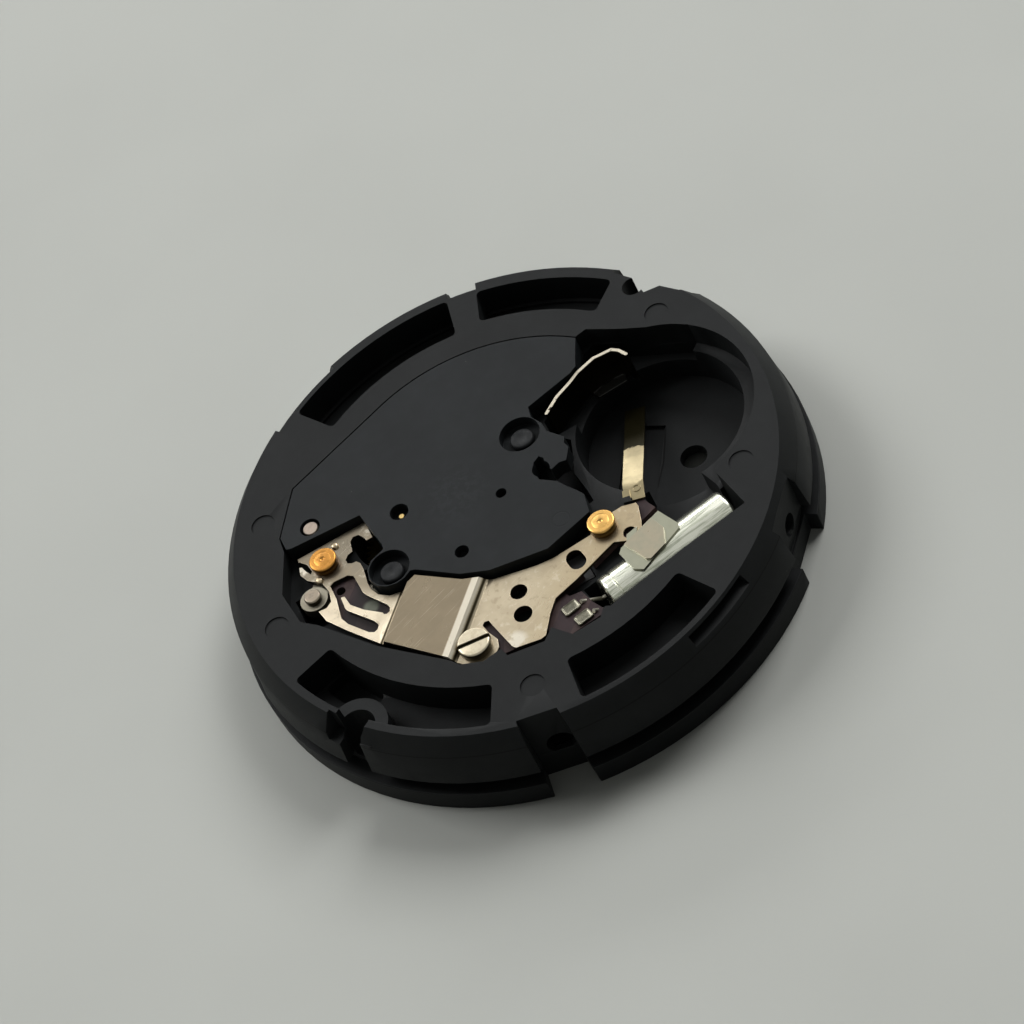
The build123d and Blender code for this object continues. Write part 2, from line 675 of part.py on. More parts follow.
def make_third_wheel():
    third_top = third_level + wheel_sheet
    body = wheel(third_share, third_teeth, third_module, third_phase, third_level, third_top)
    body = body + toothed(third_share, third_leaves, centre_module, 0, third_pinion[0], third_level)
    body = body + disc(third_place, arbor_radius, motion_level, cover_bottom - lift)
    return body + disc(third_place, pivot_radius, pivot_bottom, cover_bottom + lift)


def make_centre_wheel():
    centre_top = centre_level + wheel_sheet
    body = wheel(centre, centre_teeth, centre_module, centre_phase, centre_level, centre_top)
    body = body + disc(centre, hub_radius, centre_hub[0], centre_hub[1])
    body = body + toothed(centre, cannon_leaves, motion_module, 0, motion_level, centre_hub[0])
    body = body + disc(centre, cannon_radius, cannon_end, motion_level)
    return body - disc(centre, cannon_bore_radius, seconds_end - below, centre_level + above)


def make_minute_wheel():
    motion_top = motion_level + wheel_sheet
    body = wheel(minute_share, minute_teeth, motion_module, minute_phase, motion_level, motion_top)
    body = body + toothed(minute_share, minute_leaves, hour_module, 0, minute_pinion_bottom, motion_level)
    return body + disc(minute_place, minute_pivot_radius, guard_level, minute_pinion_bottom)


def make_hour_wheel():
    body = wheel(centre, hour_teeth, hour_module, hour_phase, hour_level, hour_level + hour_sheet)
    body = body + disc(centre, hour_shoulder_radius, hour_seat_top, hour_level)
    body = body + disc(centre, hour_pipe_radius, hour_pipe_end, hour_seat_top)
    return body - disc(centre, hour_bore_radius, seconds_end, hour_level + above)


def make_setting_wheel():
    motion_top = motion_level + wheel_sheet
    body = wheel(setting_share, setting_teeth, setting_module, setting_phase, motion_level, motion_top)
    body = body + disc(setting_place, setting_arbor_radius, motion_level, cover_bottom - lift)
    body = body + disc(setting_place, pivot_radius, pivot_bottom, motion_level)
    body = body + disc(setting_place, pivot_hole_radius, cover_bottom - lift, setting_top)
    return body


def make_rotor_pinion():
    body = toothed(rotor_share, rotor_leaves, fifth_module, rotor_phase, *rotor_pinion_levels)
    body = body + disc(rotor_place, rotor_arbor_radius, motion_level, cover_bottom - lift)
    return body + disc(rotor_place, pivot_radius, pivot_bottom, pivot_top)


def make_rotor_magnet():
    body = tube(rotor_place, rotor_arbor_radius, magnet_radius, *magnet_levels)
    return body


# Moving parts of the setting works
def make_sliding_pinion():
    length = sliding_ends[1] - sliding_ends[0]
    middle = (sliding_ends[0] + sliding_ends[1]) / 2
    body = Pos(middle, 0, stem_level) * Rot(0, 90, 0) * Cylinder(sliding_radius, length)
    groove_length = sliding_groove[1] - sliding_groove[0]
    groove_middle = (sliding_groove[0] + sliding_groove[1]) / 2
    groove = Cylinder(sliding_radius + below, groove_length)
    groove = groove - Cylinder(sliding_groove_radius, groove_length)
    body = body - Pos(groove_middle, 0, stem_level) * Rot(0, 90, 0) * groove
    bore_width = sliding_bore_half * 2
    body = body - Pos(middle, 0, stem_level) * Box(length + above, bore_width, bore_width)
    for number in range(sliding_notches):
        cut = Pos(sliding_ends[1], 0, stem_level) * Rot(number * 360 / sliding_notches, 0, 0)
        depth = sliding_notch[0] * 2
        cut = cut * Pos(0, 0, sliding_radius) * Box(depth, sliding_notch[1], depth)
        body = body - cut
    return body


def make_yoke():
    body = prism(places(yoke_shares), *yoke_levels)
    groove_middle = (sliding_groove[0] + sliding_groove[1]) / 2
    for side in (-1, 1):
        spot = (groove_middle, side * (prong_places[0] + prong_places[1]) / 2)
        size = (prong_thickness, prong_places[1] - prong_places[0])
        body = body + block(spot, size, 0, prong_bottom, yoke_levels[0])
    return body


def make_setting_lever():
    pillar = place(pillar_shares[0])
    pin = place(lever_pin_share)
    body = disc(pillar, lever_eye_radius, *lever_levels)
    body = body + bar(pillar, pin, lever_arm_width, *lever_levels)
    body = body + disc(pin, lever_lobe_radius, lever_levels[0], lever_lobe_levels[1])
    body = body - disc(pillar, pillar_radius + running_gap, tray_floor, top)
    return body - disc(pin, lever_pin_shank_radius, tray_floor, top)


def make_setting_lever_pin():
    pin = place(lever_pin_share)
    body = disc(pin, lever_pin_radius, lever_lobe_levels[1], lever_pin_top)
    body = body + disc(pin, lever_pin_shank_radius, lever_pin_bottom, lever_lobe_levels[1])
    return chamfer(body.edges().group_by(Axis.Z)[-1], edge_gap)


# Motor
def make_coil_core():
    low, high = core_levels
    middle = along_coil(0, 0)
    body = block(middle, (core_length, core_width), coil_angle, low, high)
    for side in (-1, 1):
        spot = along_coil(side * (core_length - core_pad[0]) / 2, 0)
        body = body + block(spot, core_pad, coil_angle, low, high)
    ear = along_coil(*core_ear)
    body = body + bar(along_coil(core_ear[0] + below, 0), ear, core_ear_radius * 2, low, high)
    return body - disc(ear, screw_radius, low - below, high + below)


def make_coil_winding():
    level = (core_levels[0] + core_levels[1]) / 2
    middle = along_coil(0, 0)
    spot = Pos(middle[0], middle[1], level) * Rot(0, 0, coil_angle)
    body = spot * Rot(0, 90, 0) * Cylinder(winding_radius, winding_length)
    for side in (-1, 1):
        cheek = spot * Pos(side * (winding_length + winding_cheek) / 2, 0, 0) * Rot(0, 90, 0)
        body = body + cheek * Cylinder(winding_cheek_radius, winding_cheek)
    bore = block(middle, (core_length, core_width), coil_angle, *core_levels)
    return body - bore


def make_stator():
    points = [along_coil(*place(share)) for share in stator_shares]
    body = prism(points, *stator_levels)
    body = body - disc(rotor_place, stator_hole_radius, stator_levels[0] - below, stator_levels[1] + below)
    for side in (-1, 1):
        spot = polar(stator_hole_radius, coil_angle + side * 90, rotor_place)
        body = body - block(spot, stator_slit, coil_angle, stator_levels[0] - below, stator_levels[1] + below)
    return body


# Circuit side
def make_circuit_board():
    body = prism(places(board_shares), tray_floor, board_top)
    low = tray_floor - below
    high = board_top + below
    body = body - prism([along_coil(*place(share)) for share in board_window_shares], low, high)
    body = body - disc(place(screw_share), screw_radius + edge_gap, low, high)
    body = body - disc(place(pillar_shares[1]), pillar_radius + edge_gap, low, high)
    body = body - disc(place(board_hole_share), board_hole_radius, low, high)
    body = body - disc(place(lever_pin_share), lever_eye_radius + edge_gap, low, high)
    for x_share, y_share, radius_share in strap_hole_shares[:2]:
        body = body - disc(place((x_share, y_share)), radius_share * plate_radius + wide_gap, low, high)
    stop = grown(make_face(Polyline(*places(leaf_stop_shares), close=True)), running_gap)
    body = body - upright(stop, low, high)
    return body - disc(place(strap_oval_share), strap_oval[1] + edge_gap, low, high)


def make_circuit_strap():
    points = places(strap_shares)
    rise = strap_high - strap_low
    low, high = strap_low, strap_high
    first, second, third, fourth = bend_places
    outline = [
        (-strap_reach, low), (first, low), (second, high), (third, high), (fourth, low), (strap_reach, low),
        (strap_reach, low + sheet), (fourth, low + sheet), (third, high + sheet),
        (second, high + sheet), (first, low + sheet), (-strap_reach, low + sheet),
    ]
    elevation = Plane.XZ * make_face(Polyline(*outline, close=True))
    bent = Rot(0, 0, coil_angle) * extrude(elevation, amount=strap_reach, both=True)
    body = bent & prism(points, low - rise, high + above)
    body = body - (prism(places(strap_window_shares), low - below, high + above)
                   - prism(places(finger_shares), low - below, high + above))
    body = body - prism(places(strap_slit_shares), low - below, high + above)
    for x_share, y_share, radius_share in strap_hole_shares:
        spot = place((x_share, y_share))
        body = body - disc(spot, radius_share * plate_radius, low - below, high + above)
    oval = place(strap_oval_share)
    turn = strap_oval_angle
    half = (strap_oval[1] - strap_oval[0]) / 2
    body = body - bar(polar(half, turn, oval), polar(-half, turn, oval), strap_oval[0] * 2, low - below, high)
    body = body - disc(place(screw_share), screw_radius, low - below, high)
    for share in pillar_shares:
        body = body - disc(place(share), pillar_radius, low - below, high)
    return body


def make_pillar(share):
    spot = place(share)
    head = disc(spot, pillar_head_radius, pillar_head_bottom, pillar_head_top)
    head = fillet(head.edges().group_by(Axis.Z)[-1], pillar_round)
    head = head - disc(spot, pillar_dimple, pillar_head_top - pillar_dimple_depth, top)
    return head + disc(spot, pillar_radius, pillar_bottom, pillar_head_bottom)


def make_plate_screw():
    spot = place(screw_share)
    head_top = pillar_head_bottom + screw_head_height
    head = disc(spot, screw_head_radius, pillar_head_bottom, head_top)
    head = fillet(head.edges().group_by(Axis.Z)[-1], pillar_round)
    slot_length = screw_head_radius * 2 + above
    slot = block(spot, (slot_length, screw_slot[0]), screw_slot_angle, head_top - screw_slot[1], top)
    return head - slot + disc(spot, screw_radius, screw_bottom, pillar_head_bottom)


def make_solder(share):
    spot = place(share)
    low = board_top
    body = block(spot, (solder_size[0], solder_size[1]), -solder_angle, low, low + solder_size[2])
    return fillet(body.edges().group_by(Axis.Z)[-1], solder_round)


def make_chip():
    spot = place(chip_share)
    return block(spot, (chip_size[0], chip_size[1]), 0, tray_floor - chip_size[2], tray_floor)


def crystal_frame():
    """Middle, length and heading of the crystal."""
    start, end = places(crystal_end_shares)
    heading = math.degrees(math.atan2(end[1] - start[1], end[0] - start[0]))
    middle = ((start[0] + end[0]) / 2, (start[1] + end[1]) / 2)
    return middle, math.dist(start, end), heading


def make_crystal_can():
    middle, length, heading = crystal_frame()
    collar_length, collar_radius_here = crystal_collar
    can_length = length - collar_length
    spot = Pos(middle[0], middle[1], crystal_level) * Rot(0, 0, heading)
    can = spot * Pos(collar_length / 2, 0, 0) * Rot(0, 90, 0) * Cylinder(crystal_radius, can_length)
    far = can.edges().filter_by(GeomType.CIRCLE).sort_by(Axis.X)[-1]
    can = fillet([far], crystal_round)
    collar = spot * Pos(-(length - collar_length) / 2, 0, 0) * Rot(0, 90, 0)
    return can + collar * Cylinder(collar_radius_here, collar_length)


def make_crystal_lead(share, side):
    middle, length, heading = crystal_frame()
    spot = Pos(middle[0], middle[1], crystal_level) * Rot(0, 0, heading)
    start = spot * Pos(-length / 2, side * lead_spread, 0)
    knee = spot * Pos(-length / 2 - lead_reach, side * lead_spread, 0)
    pad = place(share)
    end = Vector(pad[0] + solder_size[0] / 2 + lead_radius, pad[1], board_top + lead_radius)
    wire = Polyline(start.position, knee.position, end)
    section = Plane(origin=start.position, z_dir=knee.position - start.position) * Circle(lead_radius)
    return sweep(section, path=wire, transition=Transition.ROUND)


def make_crystal_clamp():
    low = crystal_level + crystal_radius
    body = prism(places(clamp_shares), low, low + clamp_sheet)
    body = body + prism(places(tongue_shares), low + clamp_sheet, low + 2 * clamp_sheet)
    return body + prism(places(clamp_leg_shares), pillar_head_bottom, low + clamp_sheet)


def make_minus_leaf():
    under = [(reach * plate_radius, level * height) for reach, level in leaf_shares]
    outline = under + [(reach, level + leaf_sheet) for reach, level in reversed(under)]
    side = Plane.XZ * make_face(Polyline(*outline, close=True))
    body = extrude(side, amount=leaf_width / 2, both=True)
    mark_place, mark_radius, mark_height = leaf_mark
    step_length, step_width, step_height = leaf_step
    level = under[0][1] + leaf_sheet
    spot = (step_length + mark_place, -mark_place / 2)
    body = body + tube(spot, mark_radius * 2, mark_radius * 3, level, level + mark_height)
    body = body + Pos(step_length, step_width / 2 + leaf_sheet, level + step_height / 2) * Box(
        step_width, step_length, step_height)
    spot = place(leaf_share)
    body = Pos(spot[0], spot[1], 0) * Rot(0, 0, leaf_angle) * body
    stop = grown(make_face(Polyline(*places(leaf_stop_shares), close=True)), running_gap)
    return body - upright(stop, battery_ledge, top)


def make_plus_contact():
    points = places(plus_shares)
    walls = []
    for here, there in zip(points[:-1], points[1:]):
        walls.append(bar(here, there, sheet, *plus_levels))
    foot = prism(places(plus_foot_shares), plus_levels[0], plus_levels[0] + sheet)
    return union(walls) + foot


# Moulded parts
def arc_pocket(inner_share, outer_share, start, end):
    """One arc pocket with a low ledge at the foot of its outer wall."""
    inner = inner_share * plate_radius
    outer = outer_share * plate_radius
    cut = sector(inner, outer, start, end, pocket_floor, top + above, pocket_corner)
    ledge = sector(outer - pocket_ledge_width, outer + below, start - ledge_overlap_angle,
                   end + ledge_overlap_angle, pocket_floor, pocket_floor + pocket_ledge_height)
    return cut - ledge


def edge_box(angle, start, length, width, low, high):
    """Box that runs outwards along an angle."""
    return block(polar(start + length / 2, angle), (length, width), angle, low, high)


def radial_hole(angle, start, length, radius, level):
    """Round hole that runs outwards along an angle."""
    spot = polar(start + length / 2, angle)
    return Pos(spot[0], spot[1], level) * Rot(0, 0, angle) * Rot(0, 90, 0) * Cylinder(radius, length)


def make_main_plate():
    outline = [
        (0, web_bottom), (skirt_radius, web_bottom), (skirt_radius, plate_bottom),
        (neck_radius, plate_bottom),
        (neck_radius, groove_level), (wall_radius, groove_level), (crease_radius, crease_level),
        (plate_radius, height), (0, height),
    ]
    body = revolve(Plane.XZ * make_face(Polyline(*outline, close=True)), axis=Axis.Z)
    body = body + disc(well_place, cup_radius, battery_cup_bottom, web_top)
    for angle in guard_screw_angles:
        spot = polar(guard_screw_circle, angle)
        body = body + disc(spot, guard_boss_radius, guard_level + guard_sheet, web_bottom)

    # Recesses open to the back
    high = top + above
    body = body - upright(grown(recess_face, edge_gap), cover_bottom, high)
    body = body - upright(grown(recess_face, edge_gap) - cover_face, tray_floor, high)
    for pocket in arc_pockets:
        body = body - arc_pocket(*pocket)
    inner_share, outer_share, start, end = pocket_sump
    body = body - sector(inner_share * plate_radius, outer_share * plate_radius, start, end,
                         pocket_sump_floor, high, pocket_corner)
    collar = disc(place(keyhole_share), collar_radius, pocket_floor, collar_top)
    body = body + (collar & disc(centre, crease_radius, plate_bottom, top))

    # Wheel wells and hidden pockets
    wells = [
        (centre, centre_teeth, centre_module), (third_place, third_teeth, third_module),
        (setting_place, setting_teeth, setting_module), (minute_place, minute_teeth, motion_module),
        (fifth_place, fifth_teeth, fifth_module),
    ]
    for spot, teeth, module in wells:
        body = body - disc(spot, tip_radius(teeth, module) + well_gap, web_top, cover_bottom + below)
    body = body - disc(rotor_place, rotor_well, web_top, cover_bottom + below)
    stator_points = [along_coil(*place(share)) for share in stator_shares]
    stator_face = grown(make_face(Polyline(*stator_points, close=True)), edge_gap)
    body = body - upright(stator_face, stator_levels[0], cover_bottom)
    coil_room = (coil_cavity_length, (winding_cheek_radius + wide_gap) * 2)
    body = body - block(along_coil(0, 0), coil_room, coil_angle, coil_cavity_floor, cover_bottom)
    core_size = (core_length + wide_gap, core_pad[1] + wide_gap)
    body = body - block(along_coil(0, 0), core_size, coil_angle, core_levels[0], cover_bottom)
    ear = along_coil(*core_ear)
    ear_foot = along_coil(core_ear[0] + below, 0)
    body = body - bar(ear_foot, ear, (core_ear_radius + edge_gap) * 2, core_levels[0], cover_bottom)
    chip_room = (chip_size[0] + wide_gap, chip_size[1] + wide_gap)
    body = body - block(place(chip_share), chip_room, 0, tray_floor - chip_size[2] - wide_gap, cover_bottom)
    body = body - prism(places(keyless_cavity_shares), keyless_floor, cover_bottom)

    # Battery well, contact pocket and crystal slot
    body = body - disc(mouth_place, well_mouth_radius, battery_ledge, high)
    body = body - disc(well_place, well_radius, battery_floor, high)
    recess = prism(places(leaf_recess_shares), battery_floor - leaf_recess_depth, battery_floor + below)
    body = body - (recess & disc(well_place, well_radius - edge_gap, battery_cup_bottom, top))
    body = body - disc(place(well_hole_share), well_hole_radius, 0, top)
    body = body - prism(places(link_shares), link_floor, high)
    body = body - prism(places(contact_pocket_shares), contact_floor, high)
    body = body - prism(places(edge_gap_shares), edge_gap_floor, high)
    body = body + prism(places(leaf_stop_shares), battery_ledge, leaf_stop_top)
    middle, length, heading = crystal_frame()
    half = crystal_radius + running_gap
    slot_spot = polar((crystal_slot_after - crystal_slot_before) / 2, heading, middle)
    slot_size = (length + crystal_slot_before + crystal_slot_after, half * 2)
    body = body - block(slot_spot, slot_size, heading, crystal_level - half, high)
    body = body - prism(places(crystal_wedge_shares), link_floor, high)

    # Posts for the cover, on columns through the wells
    for share in stake_shares:
        spot = place(share)
        post = disc(spot, stake_column_radius, web_top, cover_bottom)
        post = post + disc(spot, stake_radius, cover_bottom, stake_recess_floor)
        body = body + post

    # Bearings and bores
    for spot in (third_place, rotor_place, fifth_place, setting_place):
        body = body - disc(spot, pivot_hole_radius, 0, top)
    body = body - disc(centre, plate_bore_radius, 0, top)
    body = body - disc(minute_place, minute_bore_radius, 0, web_top + below)
    for share in pillar_shares:
        body = body - disc(place(share), pillar_radius, pillar_bottom, high)
    body = body - disc(place(screw_share), screw_radius, screw_bottom, high)
    body = body - disc(place(cover_pin_share), cover_pin_radius, cover_pin_bottom, cover_bottom)
    for angle in guard_screw_angles:
        spot = polar(guard_screw_circle, angle)
        body = body - disc(spot, guard_screw_radius, 0, guard_screw_top)
    for angle in dial_foot_angles:
        spot = polar(dial_foot_circle, angle)
        body = body - disc(spot, dial_foot_radius, 0, web_bottom + dial_foot_depth)
    cavity_end = -place(keyless_cavity_shares[0])[0]
    body = body - radial_hole(180, cavity_end - below, stem_start, stem_bore_radius, stem_level)

    # Cuts round the edge
    body = body - edge_box(180, stem_flat_distance, above, stem_flat_width, groove_level - below, high)
    body = body - prism(places(facet_shares), 0, high)
    body = body - radial_hole(facet_hole_angle, math.hypot(*place(facet_hole_share)) - facet_hole_length,
                              facet_hole_length + above, facet_hole_radius, facet_hole_level)
    body = body - edge_box(second_facet_angle, second_facet_distance, above, second_facet_width,
                           0, second_facet_top)
    body = body - radial_hole(second_facet_angle, second_facet_distance - facet_hole_length,
                              facet_hole_length + above, second_hole_radius, second_hole_level)
    body = body - sector(*rim_slot, *rim_slot_levels)
    body = body - disc(place(keyhole_share), keyhole_radius, 0, high)
    keyhole_angle = math.degrees(math.atan2(keyhole_share[1], keyhole_share[0]))
    keyhole_distance = math.hypot(*place(keyhole_share))
    body = body - edge_box(keyhole_angle, keyhole_distance, above * 2, keyhole_mouth, 0, high)
    body = body - edge_box(step_notch_angle, plate_radius - step_notch_depth, above, step_notch_width,
                           step_notch_floor, high)
    body = body - prism(places(edge_notch_shares), 0, high)
    body = body - disc(place(scallop_share), scallop_radius, scallop_floor, high)
    body = body - sector(*dip, 0, high)
    body = body - sector(*thin_rim, thin_rim_floor, high)
    for share in ejector_shares:
        body = body - disc(place(share), ejector_radius, top - ejector_depth, high)
    return body


def make_dial_ring():
    outline = [
        (ring_bore_radius, 0), (flange_radius, 0), (flange_radius, flange_top), (neck_radius, flange_top),
        (neck_radius, plate_bottom), (ring_bore_radius, plate_bottom),
    ]
    body = revolve(Plane.XZ * make_face(Polyline(*outline, close=True)), axis=Axis.Z)
    body = body - prism(places(facet_shares), -below, top)
    return body - edge_box(second_facet_angle, second_facet_distance, above, second_facet_width, -below, top)


def make_train_cover():
    body = upright(cover_face, cover_bottom, top)
    high = top + above
    for share in stake_shares:
        body = body - disc(place(share), stake_recess_radius, stake_recess_floor, high)
        body = body - disc(place(share), stake_radius, cover_bottom - below, high)
    cups = [
        (setting_place, setting_cup), (rotor_place, rotor_cup), (centre, centre_cup),
    ]
    for spot, radius in cups:
        body = body - disc(spot, radius, cup_floor, high)
        body = body - disc(spot, pivot_hole_radius, cover_bottom - below, high)
    for spot in (third_place, fifth_place):
        body = body - disc(spot, pivot_hole_radius, cover_bottom - below, cover_bottom + wide_gap)
    body = body - disc(setting_place, pivot_hole_radius + running_gap, cover_bottom - below, high)
    body = body - disc(place(window_share), window_radius, cover_bottom - below, high)
    body = body - disc(place(cover_pin_share), cover_pin_hole_radius, cover_bottom - below, high)
    return body


def make_stake_head(share):
    spot = place(share)
    body = disc(spot, stake_head_radius, stake_recess_floor, stake_head_top)
    body = fillet(body.edges().group_by(Axis.Z)[-1], pillar_round)
    return body


def make_guard_plate():
    body = disc(centre, guard_plate_radius, guard_level, guard_level + guard_sheet)
    body = body - disc(centre, guard_bore_radius, 0, top)
    body = body - disc(minute_place, minute_pivot_radius + running_gap, 0, top)
    for angle in guard_screw_angles:
        body = body - disc(polar(guard_screw_circle, angle), guard_screw_radius, 0, top)
    return body


def make_guard_screw(angle):
    spot = polar(guard_screw_circle, angle)
    body = disc(spot, guard_head_radius, guard_level - guard_head_height, guard_level)
    body = body - block(spot, (above, guard_head_height), angle, 0, guard_level - guard_head_height / 2)
    return body + disc(spot, guard_screw_radius, guard_level, guard_screw_top)


def make_cover_pin():
    body = disc(place(cover_pin_share), cover_pin_radius, cover_pin_bottom, cover_pin_top)
    return chamfer(body.edges().group_by(Axis.Z)[-1], edge_gap)


pieces = {
    "main_plate": make_main_plate(),
    "dial_ring": make_dial_ring(),
    "train_cover": make_train_cover(),
    "cover_stake_east": make_stake_head(stake_shares[0]),
    "cover_stake_west": make_stake_head(stake_shares[1]),
    "cover_pin": make_cover_pin(),
    "circuit_board": make_circuit_board(),
    "circuit_strap": make_circuit_strap(),
    "pillar_west": make_pillar(pillar_shares[0]),
    "pillar_east": make_pillar(pillar_shares[1]),
    "plate_screw": make_plate_screw(),
    "solder_joint_inner": make_solder(solder_shares[0]),
    "solder_joint_outer": make_solder(solder_shares[1]),
    "control_chip": make_chip(),
    "crystal_can": make_crystal_can(),
    "crystal_clamp": make_crystal_clamp(),
    "crystal_lead_inner": make_crystal_lead(solder_shares[0], 1),
    "crystal_lead_outer": make_crystal_lead(solder_shares[1], -1),
    "minus_leaf": make_minus_leaf(),
    "plus_contact": make_plus_contact(),
    "coil_core": make_coil_core(),
    "coil_winding": make_coil_winding(),
    "stator": make_stator(),
    "rotor_magnet": make_rotor_magnet(),
    "rotor_pinion": make_rotor_pinion(),
    "fifth_wheel": make_fifth_wheel(),
    "seconds_wheel": make_seconds_wheel(),
    "seconds_arbor": make_seconds_arbor(),
    "third_wheel": make_third_wheel(),
    "centre_wheel": make_centre_wheel(),
    "minute_wheel": make_minute_wheel(),
    "hour_wheel": make_hour_wheel(),
    "setting_wheel": make_setting_wheel(),
    "sliding_pinion": make_sliding_pinion(),
    "yoke": make_yoke(),
    "setting_lever": make_setting_lever(),
    "setting_lever_pin": make_setting_lever_pin(),
    "guard_plate": make_guard_plate(),
}
for screw_name, screw_angle in zip(guard_screw_names, guard_screw_angles):
    pieces[screw_name] = make_guard_screw(screw_angle)

for piece_name, piece in pieces.items():
    save(piece_name, piece)
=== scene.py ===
"""A quartz watch movement, back up: moulded plate, train cover, circuit, contacts, motor, train and setting works.

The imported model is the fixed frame, and each class here makes and dresses one sub-assembly on it. Lengths in the
classes are millimetres in the frame of the part; every mesh is written in metres.
"""

import json
import logging
import math
from collections.abc import Mapping, Sequence
from dataclasses import dataclass, replace
from enum import Enum

import bmesh
import bpy
import numpy as np
from mathutils import Matrix, Vector

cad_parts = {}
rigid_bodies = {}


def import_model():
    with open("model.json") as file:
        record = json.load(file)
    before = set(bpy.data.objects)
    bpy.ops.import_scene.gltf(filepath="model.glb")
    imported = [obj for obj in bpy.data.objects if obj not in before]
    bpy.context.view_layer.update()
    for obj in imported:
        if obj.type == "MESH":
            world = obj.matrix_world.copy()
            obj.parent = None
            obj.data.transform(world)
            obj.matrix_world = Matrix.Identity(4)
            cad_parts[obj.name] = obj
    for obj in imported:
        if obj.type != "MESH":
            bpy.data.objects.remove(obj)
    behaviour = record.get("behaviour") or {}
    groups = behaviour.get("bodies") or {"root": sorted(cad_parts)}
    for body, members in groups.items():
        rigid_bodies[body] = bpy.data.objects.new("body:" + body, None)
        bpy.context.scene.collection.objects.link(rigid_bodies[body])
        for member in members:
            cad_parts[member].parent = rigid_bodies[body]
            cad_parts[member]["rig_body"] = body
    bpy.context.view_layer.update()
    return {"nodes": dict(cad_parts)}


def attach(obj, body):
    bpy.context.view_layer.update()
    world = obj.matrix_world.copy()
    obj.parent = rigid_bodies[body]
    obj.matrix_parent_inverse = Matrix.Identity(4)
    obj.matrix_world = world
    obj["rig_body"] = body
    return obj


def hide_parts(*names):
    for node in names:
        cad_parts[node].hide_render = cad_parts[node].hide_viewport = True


MM = 0.001
TURN = 2 * math.pi
Colour = tuple[float, float, float]
Point = tuple[float, float]
Span = tuple[float, float]
SPECK_CORE = 0.6  # share of a speck's radius that it covers fully
WELD = 2e-7  # metres within which points of a CAD mesh are merged
FLAT = 0.4  # degrees within which faces of a CAD mesh are merged
COIL_MIDDLE = (-4.9198, -3.7000)  # the strap's raised panel lies over the coil, at the same middle and heading
COIL_HEADING = -41.9

log = logging.getLogger("movement")
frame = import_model()


class Slot(Enum):
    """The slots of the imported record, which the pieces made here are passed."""

    BLACK_PLASTIC = "black_plastic"
    COVER_PLASTIC = "cover_plastic"
    STRAP_NICKEL = "strap_nickel"
    BRASS_POST = "brass_post"
    PALE_STEEL = "pale_steel"
    CRYSTAL_NICKEL = "crystal_nickel"
    CLAMP_TIN = "clamp_tin"
    LEAF_SPRING = "leaf_spring"
    BOARD = "board"
    SOLDER = "solder"
    COIL_WIRE = "coil_wire"


# Shader maths


class Signal:
    """A shader socket whose sums and products are written as Python expressions."""

    def __init__(self, net: "Network", socket: bpy.types.NodeSocket | None) -> None:
        """Keep the socket and the network that it belongs to."""
        self.net = net
        self.socket = socket

    def _maths(self, operation: str, *terms: object) -> "Signal":
        """Add one Math node over the terms."""
        return self.net.node("ShaderNodeMath", {"operation": operation}, dict(enumerate(terms)))

    def __add__(self, other: object) -> "Signal":
        """Sum."""
        return self._maths("ADD", self, other)

    __radd__ = __add__

    def __sub__(self, other: object) -> "Signal":
        """Difference."""
        return self._maths("SUBTRACT", self, other)

    def __rsub__(self, other: object) -> "Signal":
        """Difference from a number."""
        return self._maths("SUBTRACT", other, self)

    def __mul__(self, other: object) -> "Signal":
        """Product."""
        return self._maths("MULTIPLY", self, other)

    __rmul__ = __mul__

    def __pow__(self, other: object) -> "Signal":
        """Power."""
        return self._maths("POWER", self, other)

    def size(self) -> "Signal":
        """Value without its sign."""
        return self._maths("ABSOLUTE", self)

    def wave(self) -> "Signal":
        """Sine."""
        return self._maths("SINE", self)

    def most(self, other: object) -> "Signal":
        """Larger of two."""
        return self._maths("MAXIMUM", self, other)

    def rise(self, low: float, high: float) -> "Signal":
        """Smooth step from 0 at low to 1 at high."""
        return self.net.node(
            "ShaderNodeMapRange", {"interpolation_type": "SMOOTHSTEP"},
            {"Value": self, "From Min": low, "From Max": high},
        )

    def fall(self, low: float, high: float) -> "Signal":
        """Smooth step from 1 at low to 0 at high."""
        return 1 - self.rise(low, high)

    def band(self, low: float, high: float, soft: float) -> "Signal":
        """1 between two values and 0 outside them, with soft edges."""
        return self.rise(low - soft, low + soft) * self.fall(high - soft, high + soft)

    def between(self, low: float, high: float) -> "Signal":
        """Number that goes from low to high as this one goes from 0 to 1."""
        return self * (high - low) + low

    def other(self, output: str) -> "Signal":
        """Another output of the same node."""
        return Signal(self.net, self.socket.node.outputs[output])


class Network:
    """The nodes of a material or a world, all made through one method."""

    def __init__(self, owner: bpy.types.Material | bpy.types.World) -> None:
        """Empty the owner's node tree.

        Args:
            owner: the material or the world.
        """
        self.owner = owner
        owner.use_nodes = True
        self.tree = owner.node_tree
        self.tree.nodes.clear()

    def node(self, kind: str, settings: Mapping[str, object] | None = None,
             inputs: Mapping[str | int, object] | None = None, output: str | int = 0) -> Signal:
        """Add one node.

        Args:
            kind: type of the node.
            settings: properties, set first; "stops" holds a ramp's places and colours.
            inputs: values or signals of its sockets, by name or number.
            output: socket that is returned.

        Returns:
            The chosen output.
        """
        made = self.tree.nodes.new(kind)
        for key, value in (settings or {}).items():
            if key == "stops":
                ramp = made.color_ramp
                while len(ramp.elements) < len(value):
                    ramp.elements.new(1.0)
                for stop, (where, colour) in zip(ramp.elements, value):
                    stop.position = where
                    stop.color = (*colour, 1.0)
            else:
                setattr(made, key, value)
        for key, value in (inputs or {}).items():
            if isinstance(value, Signal):
                self.tree.links.new(value.socket, made.inputs[key])
            else:
                made.inputs[key].default_value = value
        return Signal(self, made.outputs[output] if len(made.outputs) else None)


